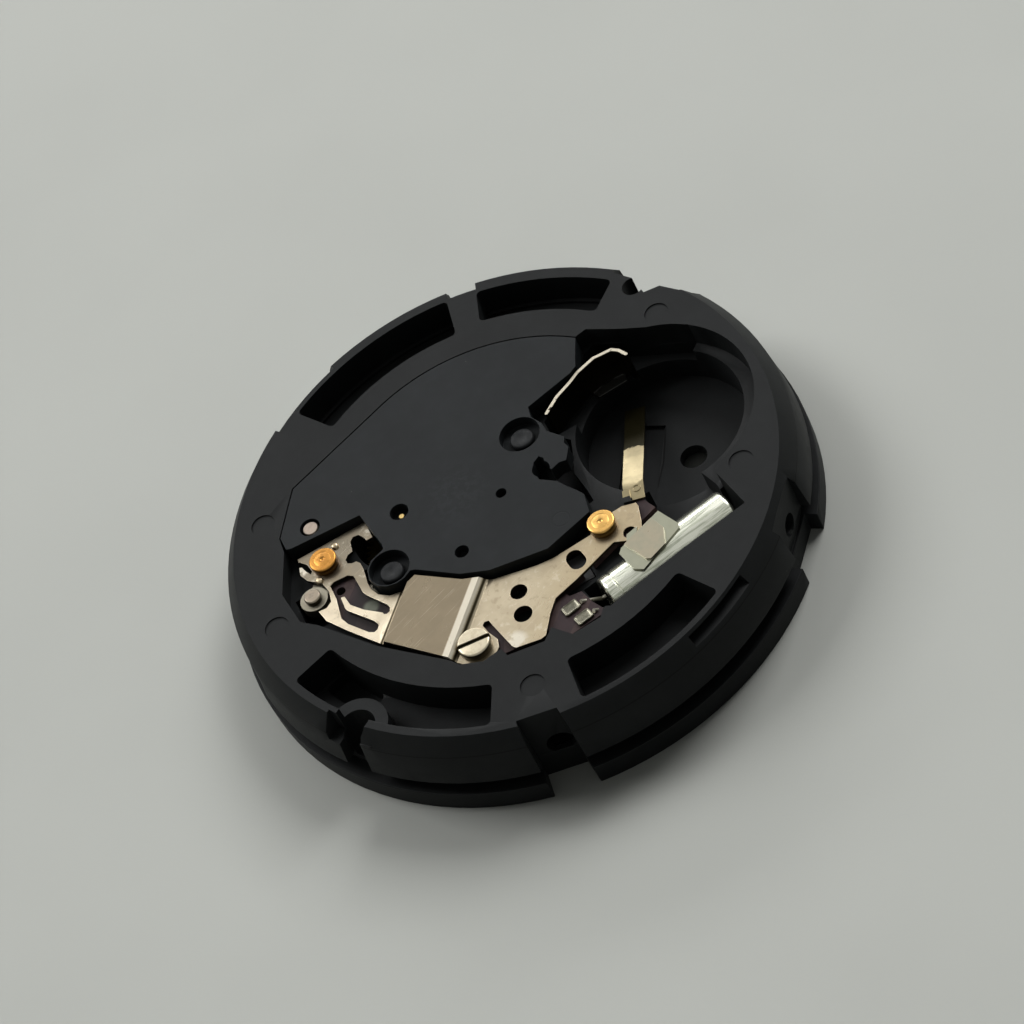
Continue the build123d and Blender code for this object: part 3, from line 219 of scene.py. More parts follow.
@dataclass(frozen=True)
class Cloud:
    """Settings of a cloudy noise.

    Its blobs are about size millimetres across before the stretch along three axes, of which the first has the
    heading in degrees. A mask of it goes from 0 to 1 over the span.
    """

    size: float
    detail: float = 2.0
    rough: float = 0.5
    stretch: tuple[float, float, float] = (1, 1, 1)
    heading: float = 0.0
    start: tuple[float, float, float] = (0, 0, 0)
    span: Span = (0.0, 1.0)


@dataclass(frozen=True)
class Relief:
    """Fine relief: the weight of each of its layers, its depth in millimetres and the share of it that is used."""

    weights: tuple[float, ...]
    depth: float
    share: float


class Surface(Network):
    """The nodes of one finish. Places in it are millimetres in the frame of the part."""

    def __init__(self, title: str) -> None:
        """Start an empty material.

        Args:
            title: name of the material.
        """
        super().__init__(bpy.data.materials.new(title))
        place = self.node("ShaderNodeTexCoord", output="Object")
        self.place = self.node("ShaderNodeVectorMath", {"operation": "SCALE"}, {0: place, "Scale": 1 / MM})
        self.x = self.node("ShaderNodeSeparateXYZ", None, {0: self.place})
        self.y = self.x.other("Y")
        self.z = self.x.other("Z")

    def grid(self, size: float, stretch: Sequence[float] = (1, 1, 1), heading: float = 0.0,
             start: Sequence[float] = (0, 0, 0)) -> Signal:
        """Place divided by a size, after a turn to a heading in degrees.

        Args:
            size: millimetres that become one unit.
            stretch: longer or shorter units along the three turned axes.
            heading: direction of the first axis.
            start: place that becomes zero.

        Returns:
            The vector.
        """
        return self.node("ShaderNodeMapping", {"vector_type": "TEXTURE"}, {
            "Vector": self.place, "Location": tuple(start), "Rotation": (0, 0, math.radians(heading)),
            "Scale": tuple(size * s for s in stretch),
        })

    def cloud(self, cloud: Cloud, turn: float = 0.0) -> Signal:
        """Cloudy noise about one half, with its heading turned by some degrees."""
        return self.node("ShaderNodeTexNoise", None, {
            "Vector": self.grid(cloud.size, cloud.stretch, cloud.heading + turn, cloud.start), "Scale": 1.0,
            "Detail": cloud.detail, "Roughness": cloud.rough,
        })

    def mask(self, cloud: Cloud, turn: float = 0.0) -> Signal:
        """Share that a cloud covers, which goes from 0 to 1 over its span."""
        return self.cloud(cloud, turn).rise(*cloud.span)

    def specks(self, size: float, radius: float) -> Signal:
        """Small round marks, one to a cell of the size, as 1 on a mark and 0 off it."""
        cells = self.node("ShaderNodeTexVoronoi", {"feature": "F1"}, {"Vector": self.grid(size), "Scale": 1.0},
                          "Distance")
        return cells.fall(radius * SPECK_CORE, radius)

    def rings(self, spot: Point, pitch: float, sway: Cloud, reach: float) -> Signal:
        """Rings about a spot: a sine of the distance, moved on by the cloud times a reach in radians."""
        return (self.away(spot) * (TURN / pitch) + self.cloud(sway) * reach).wave() * 0.5 + 0.5

    def away(self, spot: Point) -> Signal:
        """Distance in plan from a spot."""
        dx = self.x - spot[0]
        dy = self.y - spot[1]
        return (dx * dx + dy * dy) ** 0.5

    def along(self, spot: Point, heading: float) -> Signal:
        """Distance in plan from a spot along a heading in degrees."""
        turn = math.radians(heading)
        return (self.x - spot[0]) * math.cos(turn) + (self.y - spot[1]) * math.sin(turn)

    def near_line(self, start: Point, end: Point) -> Signal:
        """Distance in plan from the straight line between two places."""
        length = math.dist(start, end)
        heading = math.degrees(math.atan2(end[1] - start[1], end[0] - start[0]))
        run = self.along(start, heading)
        past = (0 - run).most(run - length).most(0.0)
        across = self.along(start, heading + 90)
        return (past * past + across * across) ** 0.5

    def blend(self, share: Signal | float, first: object, second: object) -> Signal:
        """Colour that goes from the first to the second as the share goes from 0 to 1."""
        colours = [c if isinstance(c, Signal) else (*c, 1.0) for c in (first, second)]
        return self.node("ShaderNodeMix", {"data_type": "RGBA"}, {0: share, 6: colours[0], 7: colours[1]}, 2)

    def raised(self, relief: Relief, *layers: Signal) -> Signal:
        """Height of the layers laid on each other, each times its weight."""
        return sum(layer * weight for layer, weight in zip(layers, relief.weights))

    def shade(self, colour: Signal, rough: Signal | float, metal: Signal | float, height: Signal, relief: Relief,
              **fixed: float) -> bpy.types.Material:
        """Close the network with a surface shader.

        Args:
            colour: base colour.
            rough: roughness.
            metal: metallic share.
            height: height of the relief, from 0 to about 1.
            relief: its depth and the share of it that is used.
            fixed: other inputs that are the same all over, with underscores for spaces.

        Returns:
            The finished material.
        """
        normal = self.node("ShaderNodeBump", None, {
            "Strength": relief.share, "Distance": relief.depth * MM, "Height": height,
        })
        inputs = {key.replace("_", " "): value for key, value in fixed.items()}
        surface = self.node("ShaderNodeBsdfPrincipled", None, {
            "Base Color": colour, "Roughness": rough, "Metallic": metal, "Normal": normal, **inputs,
        })
        self.node("ShaderNodeOutputMaterial", None, {"Surface": surface})
        return self.owner


# Finishes


def scaled(colour: Colour, share: float) -> Colour:
    """A colour times a share, with no channel above 1."""
    return tuple(min(1.0, share * channel) for channel in colour)


@dataclass(frozen=True)
class ShadedCut:
    """A fine cut in a skin: the distances over which its line fades, its cover, the darkness of the painted shade
    along it, and its depth.
    """

    line: Span
    cover: float
    dark: float
    depth: float


@dataclass(frozen=True)
class MouldedPlastic:
    """Black moulding compound: a fine spark-eroded skin, faint flow clouds, a little dust, and fine cuts darkened
    with painted shade.
    """

    title: str
    dark: Colour
    light: Colour
    rough: Span
    sheen: float
    smudge: Point | None = None
    ring: tuple[float, float, float] | None = None
    crease: tuple[float, float] | None = None
    grooves: tuple[Point, ...] = ()
    flow: Cloud = Cloud(2.6, 3, 0.55, span=(0.35, 0.7))
    flow_share: float = 0.6
    skin: Cloud = Cloud(0.055, 2, 0.6)
    patches: Cloud = Cloud(0.55, 3, 0.6, start=(3, 1, 0), span=(0.4, 0.75))
    dust: Colour = (0.13, 0.13, 0.12)
    dust_cell: float = 0.9
    dust_radius: float = 0.035
    dusty: Cloud = Cloud(1.7, 1, 0.5, start=(9, 2, 4), span=(0.56, 0.62))
    dust_cover: float = 0.35
    rubbed: Cloud = Cloud(0.28, 3, 0.6, span=(0.45, 0.6))
    rubbed_reach: Span = (0.3, 2.2)
    rubbed_cover: float = 0.35
    rubbed_light: float = 1.6
    rubbed_relief: float = 1.2
    ring_levels: Span = (3.6, 3.7)
    ring_shade_cut: ShadedCut = ShadedCut((0.015, 0.05), 0.4, 0.4, 2.0)
    crease_edge: float = 0.04
    crease_shade_cut: ShadedCut = ShadedCut((0.012, 0.045), 0.9, 0.15, 3.0)
    groove_levels: Span = (1.08, 1.1)
    groove_shade_cut: ShadedCut = ShadedCut((0.02, 0.06), 0.9, 0.1, 3.0)
    relief: Relief = Relief((1.0, 0.8), 0.0028, 0.6)

    def build(self) -> bpy.types.Material:
        """Make the material."""
        net = Surface(self.title)
        patches = net.cloud(self.patches)
        tone = net.mask(self.flow) * self.flow_share + patches.rise(*self.patches.span) * (1 - self.flow_share)
        colour = net.blend(tone, self.dark, self.light)
        dust = net.specks(self.dust_cell, self.dust_radius) * net.mask(self.dusty)
        colour = net.blend(dust * self.dust_cover, colour, self.dust)
        height = net.raised(self.relief, net.cloud(self.skin), patches)
        if self.smudge is not None:
            rubbed = net.away(self.smudge).fall(*self.rubbed_reach) * net.mask(self.rubbed)
            colour = net.blend(rubbed * self.rubbed_cover, colour, scaled(self.light, self.rubbed_light))
            height = height + rubbed * self.rubbed_relief
        # painted shade: each fine cut is darkened along its line, and its relief is cut into the bump
        for distance, shown, cut in self.cuts(net):
            mark = distance.fall(*cut.line) * shown
            colour = net.blend(mark * cut.cover, colour, scaled(self.dark, cut.dark))
            height = height - mark * cut.depth
        rough = patches.between(*self.rough)
        return net.shade(colour, rough, 0.0, height, self.relief, Specular_IOR_Level=self.sheen)

    def cuts(self, net: Surface) -> list[tuple[Signal, Signal, ShadedCut]]:
        """List the fine cuts of this moulding, each darkened with painted shade.

        Args:
            net: the material's network.

        Returns:
            The distance from each cut, the share of it that shows, and its sizes.
        """
        found = []
        if self.ring is not None:
            x, y, radius = self.ring
            found.append(((net.away((x, y)) - radius).size(), net.z.rise(*self.ring_levels), self.ring_shade_cut))
        if self.crease is not None:
            level, radius = self.crease
            outside = net.away((0, 0)).rise(radius, radius + self.crease_edge)
            found.append(((net.z - level).size(), outside, self.crease_shade_cut))
        for start, end in zip(self.grooves[:-1], self.grooves[1:]):
            found.append((net.near_line(start, end), net.z.fall(*self.groove_levels), self.groove_shade_cut))
        return found


ROLLED = Cloud(0.05, 2, 0.7, (14, 1, 1))
SCRATCHED = Cloud(0.035, 1, 0.5, (60, 1, 1), 62, (2, 7, 0), (0.66, 0.72))


@dataclass(frozen=True)
class StainedNickel:
    """Nickel or iron sheet, rolled along one heading, stained in soft patches and lightly scratched."""

    title: str
    pale: Colour
    stained: Colour
    heading: float
    rough: Span
    stain: float = 0.8
    patch: Cloud = Cloud(1.1, 3, 0.6, span=(0.36, 0.66))
    small: Cloud = Cloud(0.16, 2, 0.6, start=(4, 4, 0), span=(0.4, 0.7))
    patch_share: float = 0.7
    scratch_cover: float = 0.35
    scratch_light: float = 1.25
    rolled_rough: float = 0.08
    relief: Relief = Relief((1.0, 0.6, 1.2), 0.0022, 0.7)

    def build(self) -> bpy.types.Material:
        """Make the material."""
        net = Surface(self.title)
        patch = net.cloud(self.patch)
        rolled = net.cloud(ROLLED, self.heading)
        scratch = net.mask(SCRATCHED, self.heading)
        tone = patch.rise(*self.patch.span) * self.patch_share + net.mask(self.small) * (1 - self.patch_share)
        colour = net.blend(tone * self.stain, self.pale, self.stained)
        colour = net.blend(scratch * self.scratch_cover, colour, scaled(self.pale, self.scratch_light))
        rough = patch.between(*self.rough) + rolled * self.rolled_rough
        return net.shade(colour, rough, 1.0, net.raised(self.relief, rolled, scratch, patch), self.relief)


@dataclass(frozen=True)
class StrapNickel:
    """The strap's nickel: a dull raised panel, a stained right arm, a left one of two tones, painted highlights on
    the ridge and at glints, and painted shade on the sides and folds.
    """

    title: str
    right: Colour
    tip: Colour
    panel: Colour
    left_dull: Colour
    left_pale: Colour
    # pale: colour of the scratches and bright blotches, and of the painted highlights
    pale: Colour
    stain: Colour
    # dark: colour of the painted shade on the sides and in the folds
    dark: Colour
    spot: Point
    heading: float
    panel_reach: Span
    ridge_reach: Span
    tip_reach: Span
    left_reach: Span
    left_across: Span
    folds: tuple[Span, ...]
    glints: tuple[tuple[float, float, float], ...]
    side_shade_levels: Span
    soft: float = 0.03
    patch: Cloud = Cloud(1.3, 3, 0.6, span=(0.4, 0.66))
    patch_cover: float = 0.35
    blotch: Cloud = Cloud(0.42, 3, 0.65, start=(4, 4, 0), span=(0.56, 0.70))
    blotch_cover: float = 0.5
    bright_span: Span = (0.30, 0.42)
    bright_cover: float = 0.30
    panel_span: Span = (0.3, 0.7)
    panel_dark: float = 0.86
    scratch_cover: float = 0.25
    glint_core: float = 0.4
    glint_span: Span = (0.36, 0.54)
    ridge_glint_cover: float = 0.9
    side_shade_cover: float = 0.9
    glint_metal: float = 0.65
    rough: Span = (0.22, 0.32)
    rolled_rough: float = 0.05
    relief: Relief = Relief((0.8, 0.5, 1.3, 1.0), 0.0022, 0.7)

    def build(self) -> bpy.types.Material:
        """Make the material."""
        net = Surface(self.title)
        reach = net.along(self.spot, self.heading)
        across = net.along(self.spot, self.heading + 90)
        patch, blotch = net.cloud(self.patch), net.cloud(self.blotch)
        rolled = net.cloud(ROLLED, self.heading + 90)
        scratch = net.mask(SCRATCHED, self.heading)
        arm = net.blend(reach.rise(*self.tip_reach), self.right, self.tip)
        left = net.blend(across.rise(*self.left_across), self.left_pale, self.left_dull)
        colour = net.blend(reach.fall(*self.left_reach), arm, left)
        colour = net.blend(patch.rise(*self.patch.span) * self.patch_cover, colour, self.stain)
        colour = net.blend(blotch.rise(*self.blotch.span) * self.blotch_cover, colour, self.stain)
        colour = net.blend(blotch.fall(*self.bright_span) * self.bright_cover, colour, self.pale)
        dull_panel = net.blend(patch.rise(*self.panel_span), self.panel, scaled(self.panel, self.panel_dark))
        colour = net.blend(reach.band(*self.panel_reach, self.soft), colour, dull_panel)
        colour = net.blend(scratch * self.scratch_cover, colour, self.pale)
        # painted highlights: a band along the ridge, and soft spots at the glints
        glint = reach.band(*self.ridge_reach, self.soft) * self.ridge_glint_cover
        for x, y, radius in self.glints:
            near = net.away((x, y)).fall(radius * self.glint_core, radius)
            glint = glint.most(near * blotch.rise(*self.glint_span))
        colour = net.blend(glint, colour, self.pale)
        # painted shade on the strap's sides and in its folds
        shadow = net.z.fall(*self.side_shade_levels) * self.side_shade_cover
        for fold in self.folds:
            shadow = shadow.most(reach.band(*fold, self.soft))
        colour = net.blend(shadow, colour, self.dark)
        rough = patch.between(*self.rough) + rolled * self.rolled_rough
        height = net.raised(self.relief, rolled, scratch, blotch, patch)
        return net.shade(colour, rough, 1 - glint * self.glint_metal, height, self.relief)


@dataclass(frozen=True)
class EdgedStrip:
    """Thin strip seen on edge: a pale top edge of bare sheared metal with a painted highlight, dark sides and a dull
    foot.
    """

    title: str
    edge: Colour
    side: Colour
    foot: Colour
    lit_edge_levels: Span
    foot_levels: Span
    patch: Cloud = Cloud(0.3, 3, 0.6, span=(0.45, 0.7))
    patch_cover: float = 0.4
    patch_dark: float = 0.5
    wear_and_highlight: Span = (0.60, 0.68)
    rough: Span = (0.30, 0.48)
    relief: Relief = Relief((1.0,), 0.003, 0.6)

    def build(self) -> bpy.types.Material:
        """Make the material."""
        net = Surface(self.title)
        patch = net.cloud(self.patch)
        colour = net.blend(net.z.fall(*self.foot_levels), self.side, self.foot)
        stain = patch.rise(*self.patch.span) * self.patch_cover
        colour = net.blend(stain, colour, scaled(self.side, self.patch_dark))
        # the pale top edge: bare metal in patches, with a painted highlight
        colour = net.blend(net.z.rise(*self.lit_edge_levels) * patch.fall(*self.wear_and_highlight), colour, self.edge)
        return net.shade(colour, patch.between(*self.rough), 1.0, patch, self.relief)


@dataclass(frozen=True)
class TurnedMetal:
    """Metal turned on a lathe: fine rings about one axis, a few dull spots, and painted shade on the flank below the
    top.
    """

    title: str
    colour: Colour
    shade: Colour
    rough: Span
    spot: Point
    top: float
    pitch: float = 0.035
    sway: Cloud = Cloud(0.2)
    sway_reach: float = 3.0
    dull: Cloud = Cloud(0.28, 3, 0.6, span=(0.42, 0.68))
    shaded_flank_drop: Span = (0.08, 0.03)
    flank_shade_cover: float = 0.92
    flank_shade_tint: Colour = (0.10, 0.10, 0.08)
    relief: Relief = Relief((1.0, 0.8), 0.0016, 0.6)

    def build(self) -> bpy.types.Material:
        """Make the material."""
        net = Surface(self.title)
        rings = net.rings(self.spot, self.pitch, self.sway, self.sway_reach)
        dull = net.cloud(replace(self.dull, start=(*self.spot, 0)))
        colour = net.blend(dull.rise(*self.dull.span), self.colour, self.shade)
        # painted shade: everything below the top is darkened
        low, high = self.shaded_flank_drop
        flank = net.z.fall(self.top - low, self.top - high) * self.flank_shade_cover
        colour = net.blend(flank, colour, tuple(tint * c for tint, c in zip(self.flank_shade_tint, self.shade)))
        return net.shade(colour, dull.between(*self.rough), 1.0, net.raised(self.relief, rings, dull), self.relief)


@dataclass(frozen=True)
class WheelStock:
    """Wheel stock, metal or moulded, with a circular grain about its own axis."""

    title: str
    colour: Colour
    shade: Colour
    rough: Span
    metal: float
    spot: Point
    pitch: float = 0.06
    sway: Cloud = Cloud(0.5)
    sway_reach: float = 4.0
    patch: Cloud = Cloud(0.5, 3, 0.6, span=(0.4, 0.7))
    relief: Relief = Relief((1.0, 1.0), 0.0015, 0.5)

    def build(self) -> bpy.types.Material:
        """Make the material."""
        net = Surface(self.title)
        rings = net.rings(self.spot, self.pitch, self.sway, self.sway_reach)
        patch = net.cloud(self.patch)
        colour = net.blend(patch.rise(*self.patch.span), self.colour, self.shade)
        height = net.raised(self.relief, rings, patch)
        return net.shade(colour, rings.between(*self.rough), self.metal, height, self.relief)


@dataclass(frozen=True)
class DrawnCan:
    """Drawn nickel silver: long streaks along its axis and faint dents."""

    title: str
    colour: Colour
    shade: Colour
    rough: Span
    heading: float
    streak: Cloud = Cloud(0.13, 3, 0.65, (12, 1, 1), span=(0.38, 0.68))
    dent: Cloud = Cloud(0.7)
    fine: Cloud = Cloud(0.035, 1, 0.5, (9, 1, 1), 0, (1, 5, 2))
    relief: Relief = Relief((1.0, 3.0, 0.4), 0.0035, 0.55)

    def build(self) -> bpy.types.Material:
        """Make the material."""
        net = Surface(self.title)
        streak = net.cloud(self.streak, self.heading)
        height = net.raised(self.relief, streak, net.cloud(self.dent), net.cloud(self.fine, self.heading))
        colour = net.blend(streak.rise(*self.streak.span), self.colour, self.shade)
        return net.shade(colour, streak.between(*self.rough), 1.0, height, self.relief)


@dataclass(frozen=True)
class MetalShadedPastLine:
    """Metal in its own colour on the near side of a line, with painted shade past it."""

    title: str
    near: Colour
    far_shade: Colour
    rough: Span
    spot: Point
    heading: float
    line: Span
    sway: Cloud = Cloud(0.3)
    sway_reach: float = 0.5
    grain: Cloud = Cloud(0.05, 2, 0.6, (10, 1, 1))
    patch: Cloud = Cloud(0.5, 3, 0.6, span=(0.4, 0.7))
    patch_dark: float = 0.82
    patch_rough: float = 0.1
    relief: Relief = Relief((1.0, 1.0), 0.0018, 0.6)

    def build(self) -> bpy.types.Material:
        """Make the material."""
        net = Surface(self.title)
        reach = net.along(self.spot, self.heading) + (net.cloud(self.sway) - 0.5) * self.sway_reach
        past = reach.rise(*self.line)
        patch = net.cloud(self.patch)
        pale = net.blend(patch.rise(*self.patch.span), self.near, scaled(self.near, self.patch_dark))
        # painted shade past the line
        colour = net.blend(past, pale, self.far_shade)
        height = net.raised(self.relief, net.cloud(self.grain, self.heading), patch)
        rough = past.between(*self.rough) + patch * self.patch_rough
        return net.shade(colour, rough, 1.0, height, self.relief)


@dataclass(frozen=True)
class LayeredTin:
    """Tinned sheet in two layers: a greenish lower one and a warmer upper one."""

    title: str
    lower: Colour
    upper: Colour
    levels: Span
    patch: Cloud = Cloud(0.6, 3, 0.6, span=(0.38, 0.66))
    patch_cover: float = 0.5
    patch_dark: float = 0.85
    grain: Cloud = Cloud(0.06, 2, 0.6, (8, 1, 1), 25)
    rough: Span = (0.24, 0.34)
    relief: Relief = Relief((0.6, 1.0), 0.0025, 0.6)

    def build(self) -> bpy.types.Material:
        """Make the material."""
        net = Surface(self.title)
        patch = net.cloud(self.patch)
        colour = net.blend(net.z.rise(*self.levels), self.lower, self.upper)
        stain = patch.rise(*self.patch.span) * self.patch_cover
        colour = net.blend(stain, colour, scaled(self.lower, self.patch_dark))
        height = net.raised(self.relief, net.cloud(self.grain), patch)
        return net.shade(colour, patch.between(*self.rough), 1.0, height, self.relief)


@dataclass(frozen=True)
class CircuitLaminate:
    """Purple-brown laminate: a woven skin, tracks under the lacquer, a shaded stretch and one pale bloom."""

    title: str
    lacquer: Colour
    track: Colour
    bloom: Colour
    bloom_spot: Point
    spot: Point
    heading: float
    dark_reach: Span
    sheen: float = 0.15
    thread: float = 0.11
    lane: float = 1.35
    lane_heading: float = -42.0
    lane_sway: Cloud = Cloud(2.2, 1)
    lane_sway_reach: float = 5.0
    lane_span: Span = (0.35, 0.5)
    track_cover: float = 0.7
    patch: Cloud = Cloud(0.4, 3, 0.6, span=(0.45, 0.75))
    patch_cover: float = 0.5
    patch_dark: float = 0.55
    shaded_soft: float = 0.25
    shaded_cover: float = 0.75
    shaded_dark: float = 0.2
    bloom_radii: Span = (0.22, 0.42)
    bloom_span: Span = (0.3, 0.5)
    rough: Span = (0.32, 0.5)
    relief: Relief = Relief((0.4, 1.0, 0.5), 0.004, 0.6)

    def build(self) -> bpy.types.Material:
        """Make the material."""
        net = Surface(self.title)
        weave = (net.x * (TURN / self.thread)).wave() * (net.y * (TURN / self.thread)).wave() * 0.5 + 0.5
        sway = net.cloud(self.lane_sway) * self.lane_sway_reach
        lanes = (net.along((0, 0), self.lane_heading) * (TURN / self.lane) + sway).wave().rise(*self.lane_span)
        patch = net.cloud(self.patch)
        colour = net.blend(lanes * self.track_cover, self.lacquer, self.track)
        stain = patch.rise(*self.patch.span) * self.patch_cover
        colour = net.blend(stain, colour, scaled(self.lacquer, self.patch_dark))
        shaded = net.along(self.spot, self.heading).band(*self.dark_reach, self.shaded_soft)
        colour = net.blend(shaded * self.shaded_cover, colour, scaled(self.lacquer, self.shaded_dark))
        bloom = net.away(self.bloom_spot).fall(*self.bloom_radii) * patch.rise(*self.bloom_span)
        colour = net.blend(bloom, colour, self.bloom)
        height = net.raised(self.relief, weave, lanes, patch)
        return net.shade(colour, patch.between(*self.rough), 0.0, height, self.relief, Specular_IOR_Level=self.sheen)


@dataclass(frozen=True)
class CastMetal:
    """A body that set from a melt or a powder: lumpy, mottled, with pits."""

    title: str
    colour: Colour
    shade: Colour
    rough: Span
    metal: float = 1.0
    grain: float = 0.12
    depth: float = 0.006
    sheen: float = 0.5
    lump_grains: float = 3.0
    lump_span: Span = (0.38, 0.68)
    fine_grains: float = 0.4
    pit_grains: float = 1.6
    pit_radius: float = 0.22
    weights: tuple[float, ...] = (1.5, 0.5, -0.4)
    relief_share: float = 0.5

    def build(self) -> bpy.types.Material:
        """Make the material."""
        net = Surface(self.title)
        lump = net.cloud(Cloud(self.grain * self.lump_grains, 3, 0.6))
        pits = net.specks(self.grain * self.pit_grains, self.pit_radius)
        fine = net.cloud(Cloud(self.grain * self.fine_grains, 2, 0.6))
        relief = Relief(self.weights, self.depth, self.relief_share)
        colour = net.blend(lump.rise(*self.lump_span), self.colour, self.shade)
        height = net.raised(relief, lump, fine, pits)
        return net.shade(colour, fine.between(*self.rough), self.metal, height, relief, Specular_IOR_Level=self.sheen)


@dataclass(frozen=True)
class WoundWire:
    """Enamelled copper wire: a copper base with an amber to red film that varies from turn to turn."""

    title: str
    film: Colour
    deep: Colour
    heading: float
    turns: Cloud = Cloud(0.03, 1, 0.5, (1, 12, 12), span=(0.35, 0.65))
    patch: Cloud = Cloud(0.6)
    rough: Span = (0.22, 0.38)
    metal: float = 0.85
    coat_rough: float = 0.12
    relief: Relief = Relief((1.0,), 0.002, 0.5)

    def build(self) -> bpy.types.Material:
        """Make the material."""
        net = Surface(self.title)
        turns = net.cloud(self.turns, self.heading)
        colour = net.blend(turns.rise(*self.turns.span), self.film, self.deep)
        rough = net.cloud(self.patch).between(*self.rough)
        return net.shade(colour, rough, self.metal, turns, self.relief, Coat_Roughness=self.coat_rough)


@dataclass(frozen=True)
class PalePaper:
    """Pale paper: a slow drift of tone, and fibres a few tenths of a millimetre across, hardly raised."""

    title: str
    colour: Colour
    drift: Cloud = Cloud(14, 3, 0.5, span=(0.3, 0.7))
    drift_dark: float = 0.965
    fibre: Cloud = Cloud(0.35, 3, 0.6)
    rough: float = 0.75
    sheen: float = 0.25
    relief: Relief = Relief((1.0,), 0.01, 0.3)

    def build(self) -> bpy.types.Material:
        """Make the material."""
        net = Surface(self.title)
        colour = net.blend(net.mask(self.drift), self.colour, scaled(self.colour, self.drift_dark))
        return net.shade(colour, self.rough, 0.0, net.cloud(self.fibre), self.relief, Specular_IOR_Level=self.sheen)


# Meshes


@dataclass
class Solid:
    """A closed surface as arrays: points in millimetres, and faces as rows of point numbers."""

    points: np.ndarray
    faces: list[list[int]]

    def placed(self, matrix: Matrix) -> "Solid":
        """The same surface after a move."""
        turn = np.array(matrix.to_3x3())
        return Solid(self.points @ turn.T + np.array(matrix.translation), self.faces)

    def joined(self, other: "Solid") -> "Solid":
        """Both surfaces as one mesh."""
        shift = len(self.points)
        faces = self.faces + [[number + shift for number in face] for face in other.faces]
        return Solid(np.vstack([self.points, other.points]), faces)


def lattice(rows: int, columns: int, wrap: bool = False) -> list[list[int]]:
    """Quads over a grid of points whose columns go right round.

    Args:
        rows: rows of points.
        columns: points in a row, the last joined to the first.
        wrap: True if the last row is joined to the first.

    Returns:
        Rows of four point numbers, in the order that faces outwards when the rows climb and columns go left round.
    """
    number = np.arange(rows * columns).reshape(rows, columns)
    here = number if wrap else number[:-1]
    above = np.roll(number, -1, 0) if wrap else number[1:]
    quads = np.stack([here, np.roll(here, -1, 1), np.roll(above, -1, 1), above], -1)
    return quads.reshape(-1, 4).tolist()


def turned(profile: Sequence[Point], outline: np.ndarray, closed: bool = False) -> Solid:
    """Surface of a profile carried round an outline.

    Each point of the profile gives a distance and a level; the distance multiplies the outline, whose points lie
    one unit or so from the axis. Unless the profile is a closed loop, it is capped by a point at each end.

    Args:
        profile: distance and level of each ring, from the lowest to the highest.
        outline: points of the outline, going left round.
        closed: True if the profile is a loop, such as a tube's.

    Returns:
        The surface.
    """
    rings = np.array(profile, float)
    plan = rings[:, None, 0:1] * outline[None]
    level = np.broadcast_to(rings[:, None, 1:2], plan.shape[:2] + (1,))
    points = np.concatenate([plan, level], -1).reshape(-1, 3)
    columns = len(outline)
    faces = lattice(len(rings), columns, closed)
    if not closed:
        low, high = len(points), len(points) + 1
        points = np.vstack([points, [[0, 0, rings[0, 1]], [0, 0, rings[-1, 1]]]])
        ring = np.arange(columns)
        after = np.roll(ring, -1)
        last = (len(rings) - 1) * columns
        faces += np.stack([np.full(columns, low), after, ring], -1).tolist()
        faces += np.stack([np.full(columns, high), ring + last, after + last], -1).tolist()
    return Solid(points, faces)


def circle(count: int = 48) -> np.ndarray:
    """Outline of a circle, going left round."""
    angle = np.arange(count) * TURN / count
    return np.stack([np.cos(angle), np.sin(angle)], -1)


def squarish(half_x: float, half_y: float, power: float, count: int = 48) -> np.ndarray:
    """Outline of a rectangle with very round corners: cosine and sine raised to 2/power, times the half sizes."""
    base = circle(count)
    return np.sign(base) * np.abs(base) ** (2 / power) * np.array([half_x, half_y])


def arc(middle: Point, radius: float, start: float, end: float, count: int = 6) -> list[Point]:
    """Points on an arc of a profile, between two angles in degrees."""
    angle = np.radians(np.linspace(start, end, count))
    return list(zip((middle[0] + radius * np.cos(angle)).tolist(), (middle[1] + radius * np.sin(angle)).tolist()))


def written(name: str, solid: Solid, angle: float = 40.0) -> bpy.types.Object:
    """Write a surface as an object at the origin.

    Args:
        name: name of the object.
        solid: the surface, in millimetres.
        angle: edges sharper than this many degrees stay crisp.

    Returns:
        The object.
    """
    mesh = bpy.data.meshes.new(name)
    mesh.from_pydata((solid.points * MM).tolist(), [], solid.faces)
    mesh.validate()
    mesh.shade_smooth()
    mesh.set_sharp_from_angle(angle=math.radians(angle))
    piece = bpy.data.objects.new(name, mesh)
    bpy.context.scene.collection.objects.link(piece)
    return piece


def softened(node: str, width: float, steps: int = 2, angle: float = 32.0) -> bpy.types.Object:
    """Copy of a CAD node with its loose triangles merged and its edges rounded.

    Args:
        node: name of the node.
        width: millimetres of the rounding.
        steps: segments across the rounding.
        angle: edges sharper than this many degrees are rounded.

    Returns:
        The copy, which replaces the node.
    """
    source = frame["nodes"][node]
    work = bmesh.new()
    work.from_mesh(source.data)
    bmesh.ops.remove_doubles(work, verts=work.verts, dist=WELD)
    bmesh.ops.dissolve_limit(work, angle_limit=math.radians(FLAT), verts=work.verts, edges=work.edges)
    mesh = bpy.data.meshes.new(node + "_softened")
    work.to_mesh(mesh)
    work.free()
    piece = bpy.data.objects.new(node + "_softened", mesh)
    bpy.context.scene.collection.objects.link(piece)
    mesh.shade_smooth()
    mesh.set_sharp_from_angle(angle=math.radians(angle))
    bevel = piece.modifiers.new("rounded edges", "BEVEL")
    bevel.width = width * MM
    bevel.segments = steps
    bevel.limit_method = "ANGLE"
    bevel.angle_limit = math.radians(angle)
    bevel.use_clamp_overlap = True
    bevel.harden_normals = True
    return piece


def paint(piece: bpy.types.Object, material: bpy.types.Material) -> None:
    """Give every face of a piece one material."""
    piece.data.materials.clear()
    piece.data.materials.append(material)


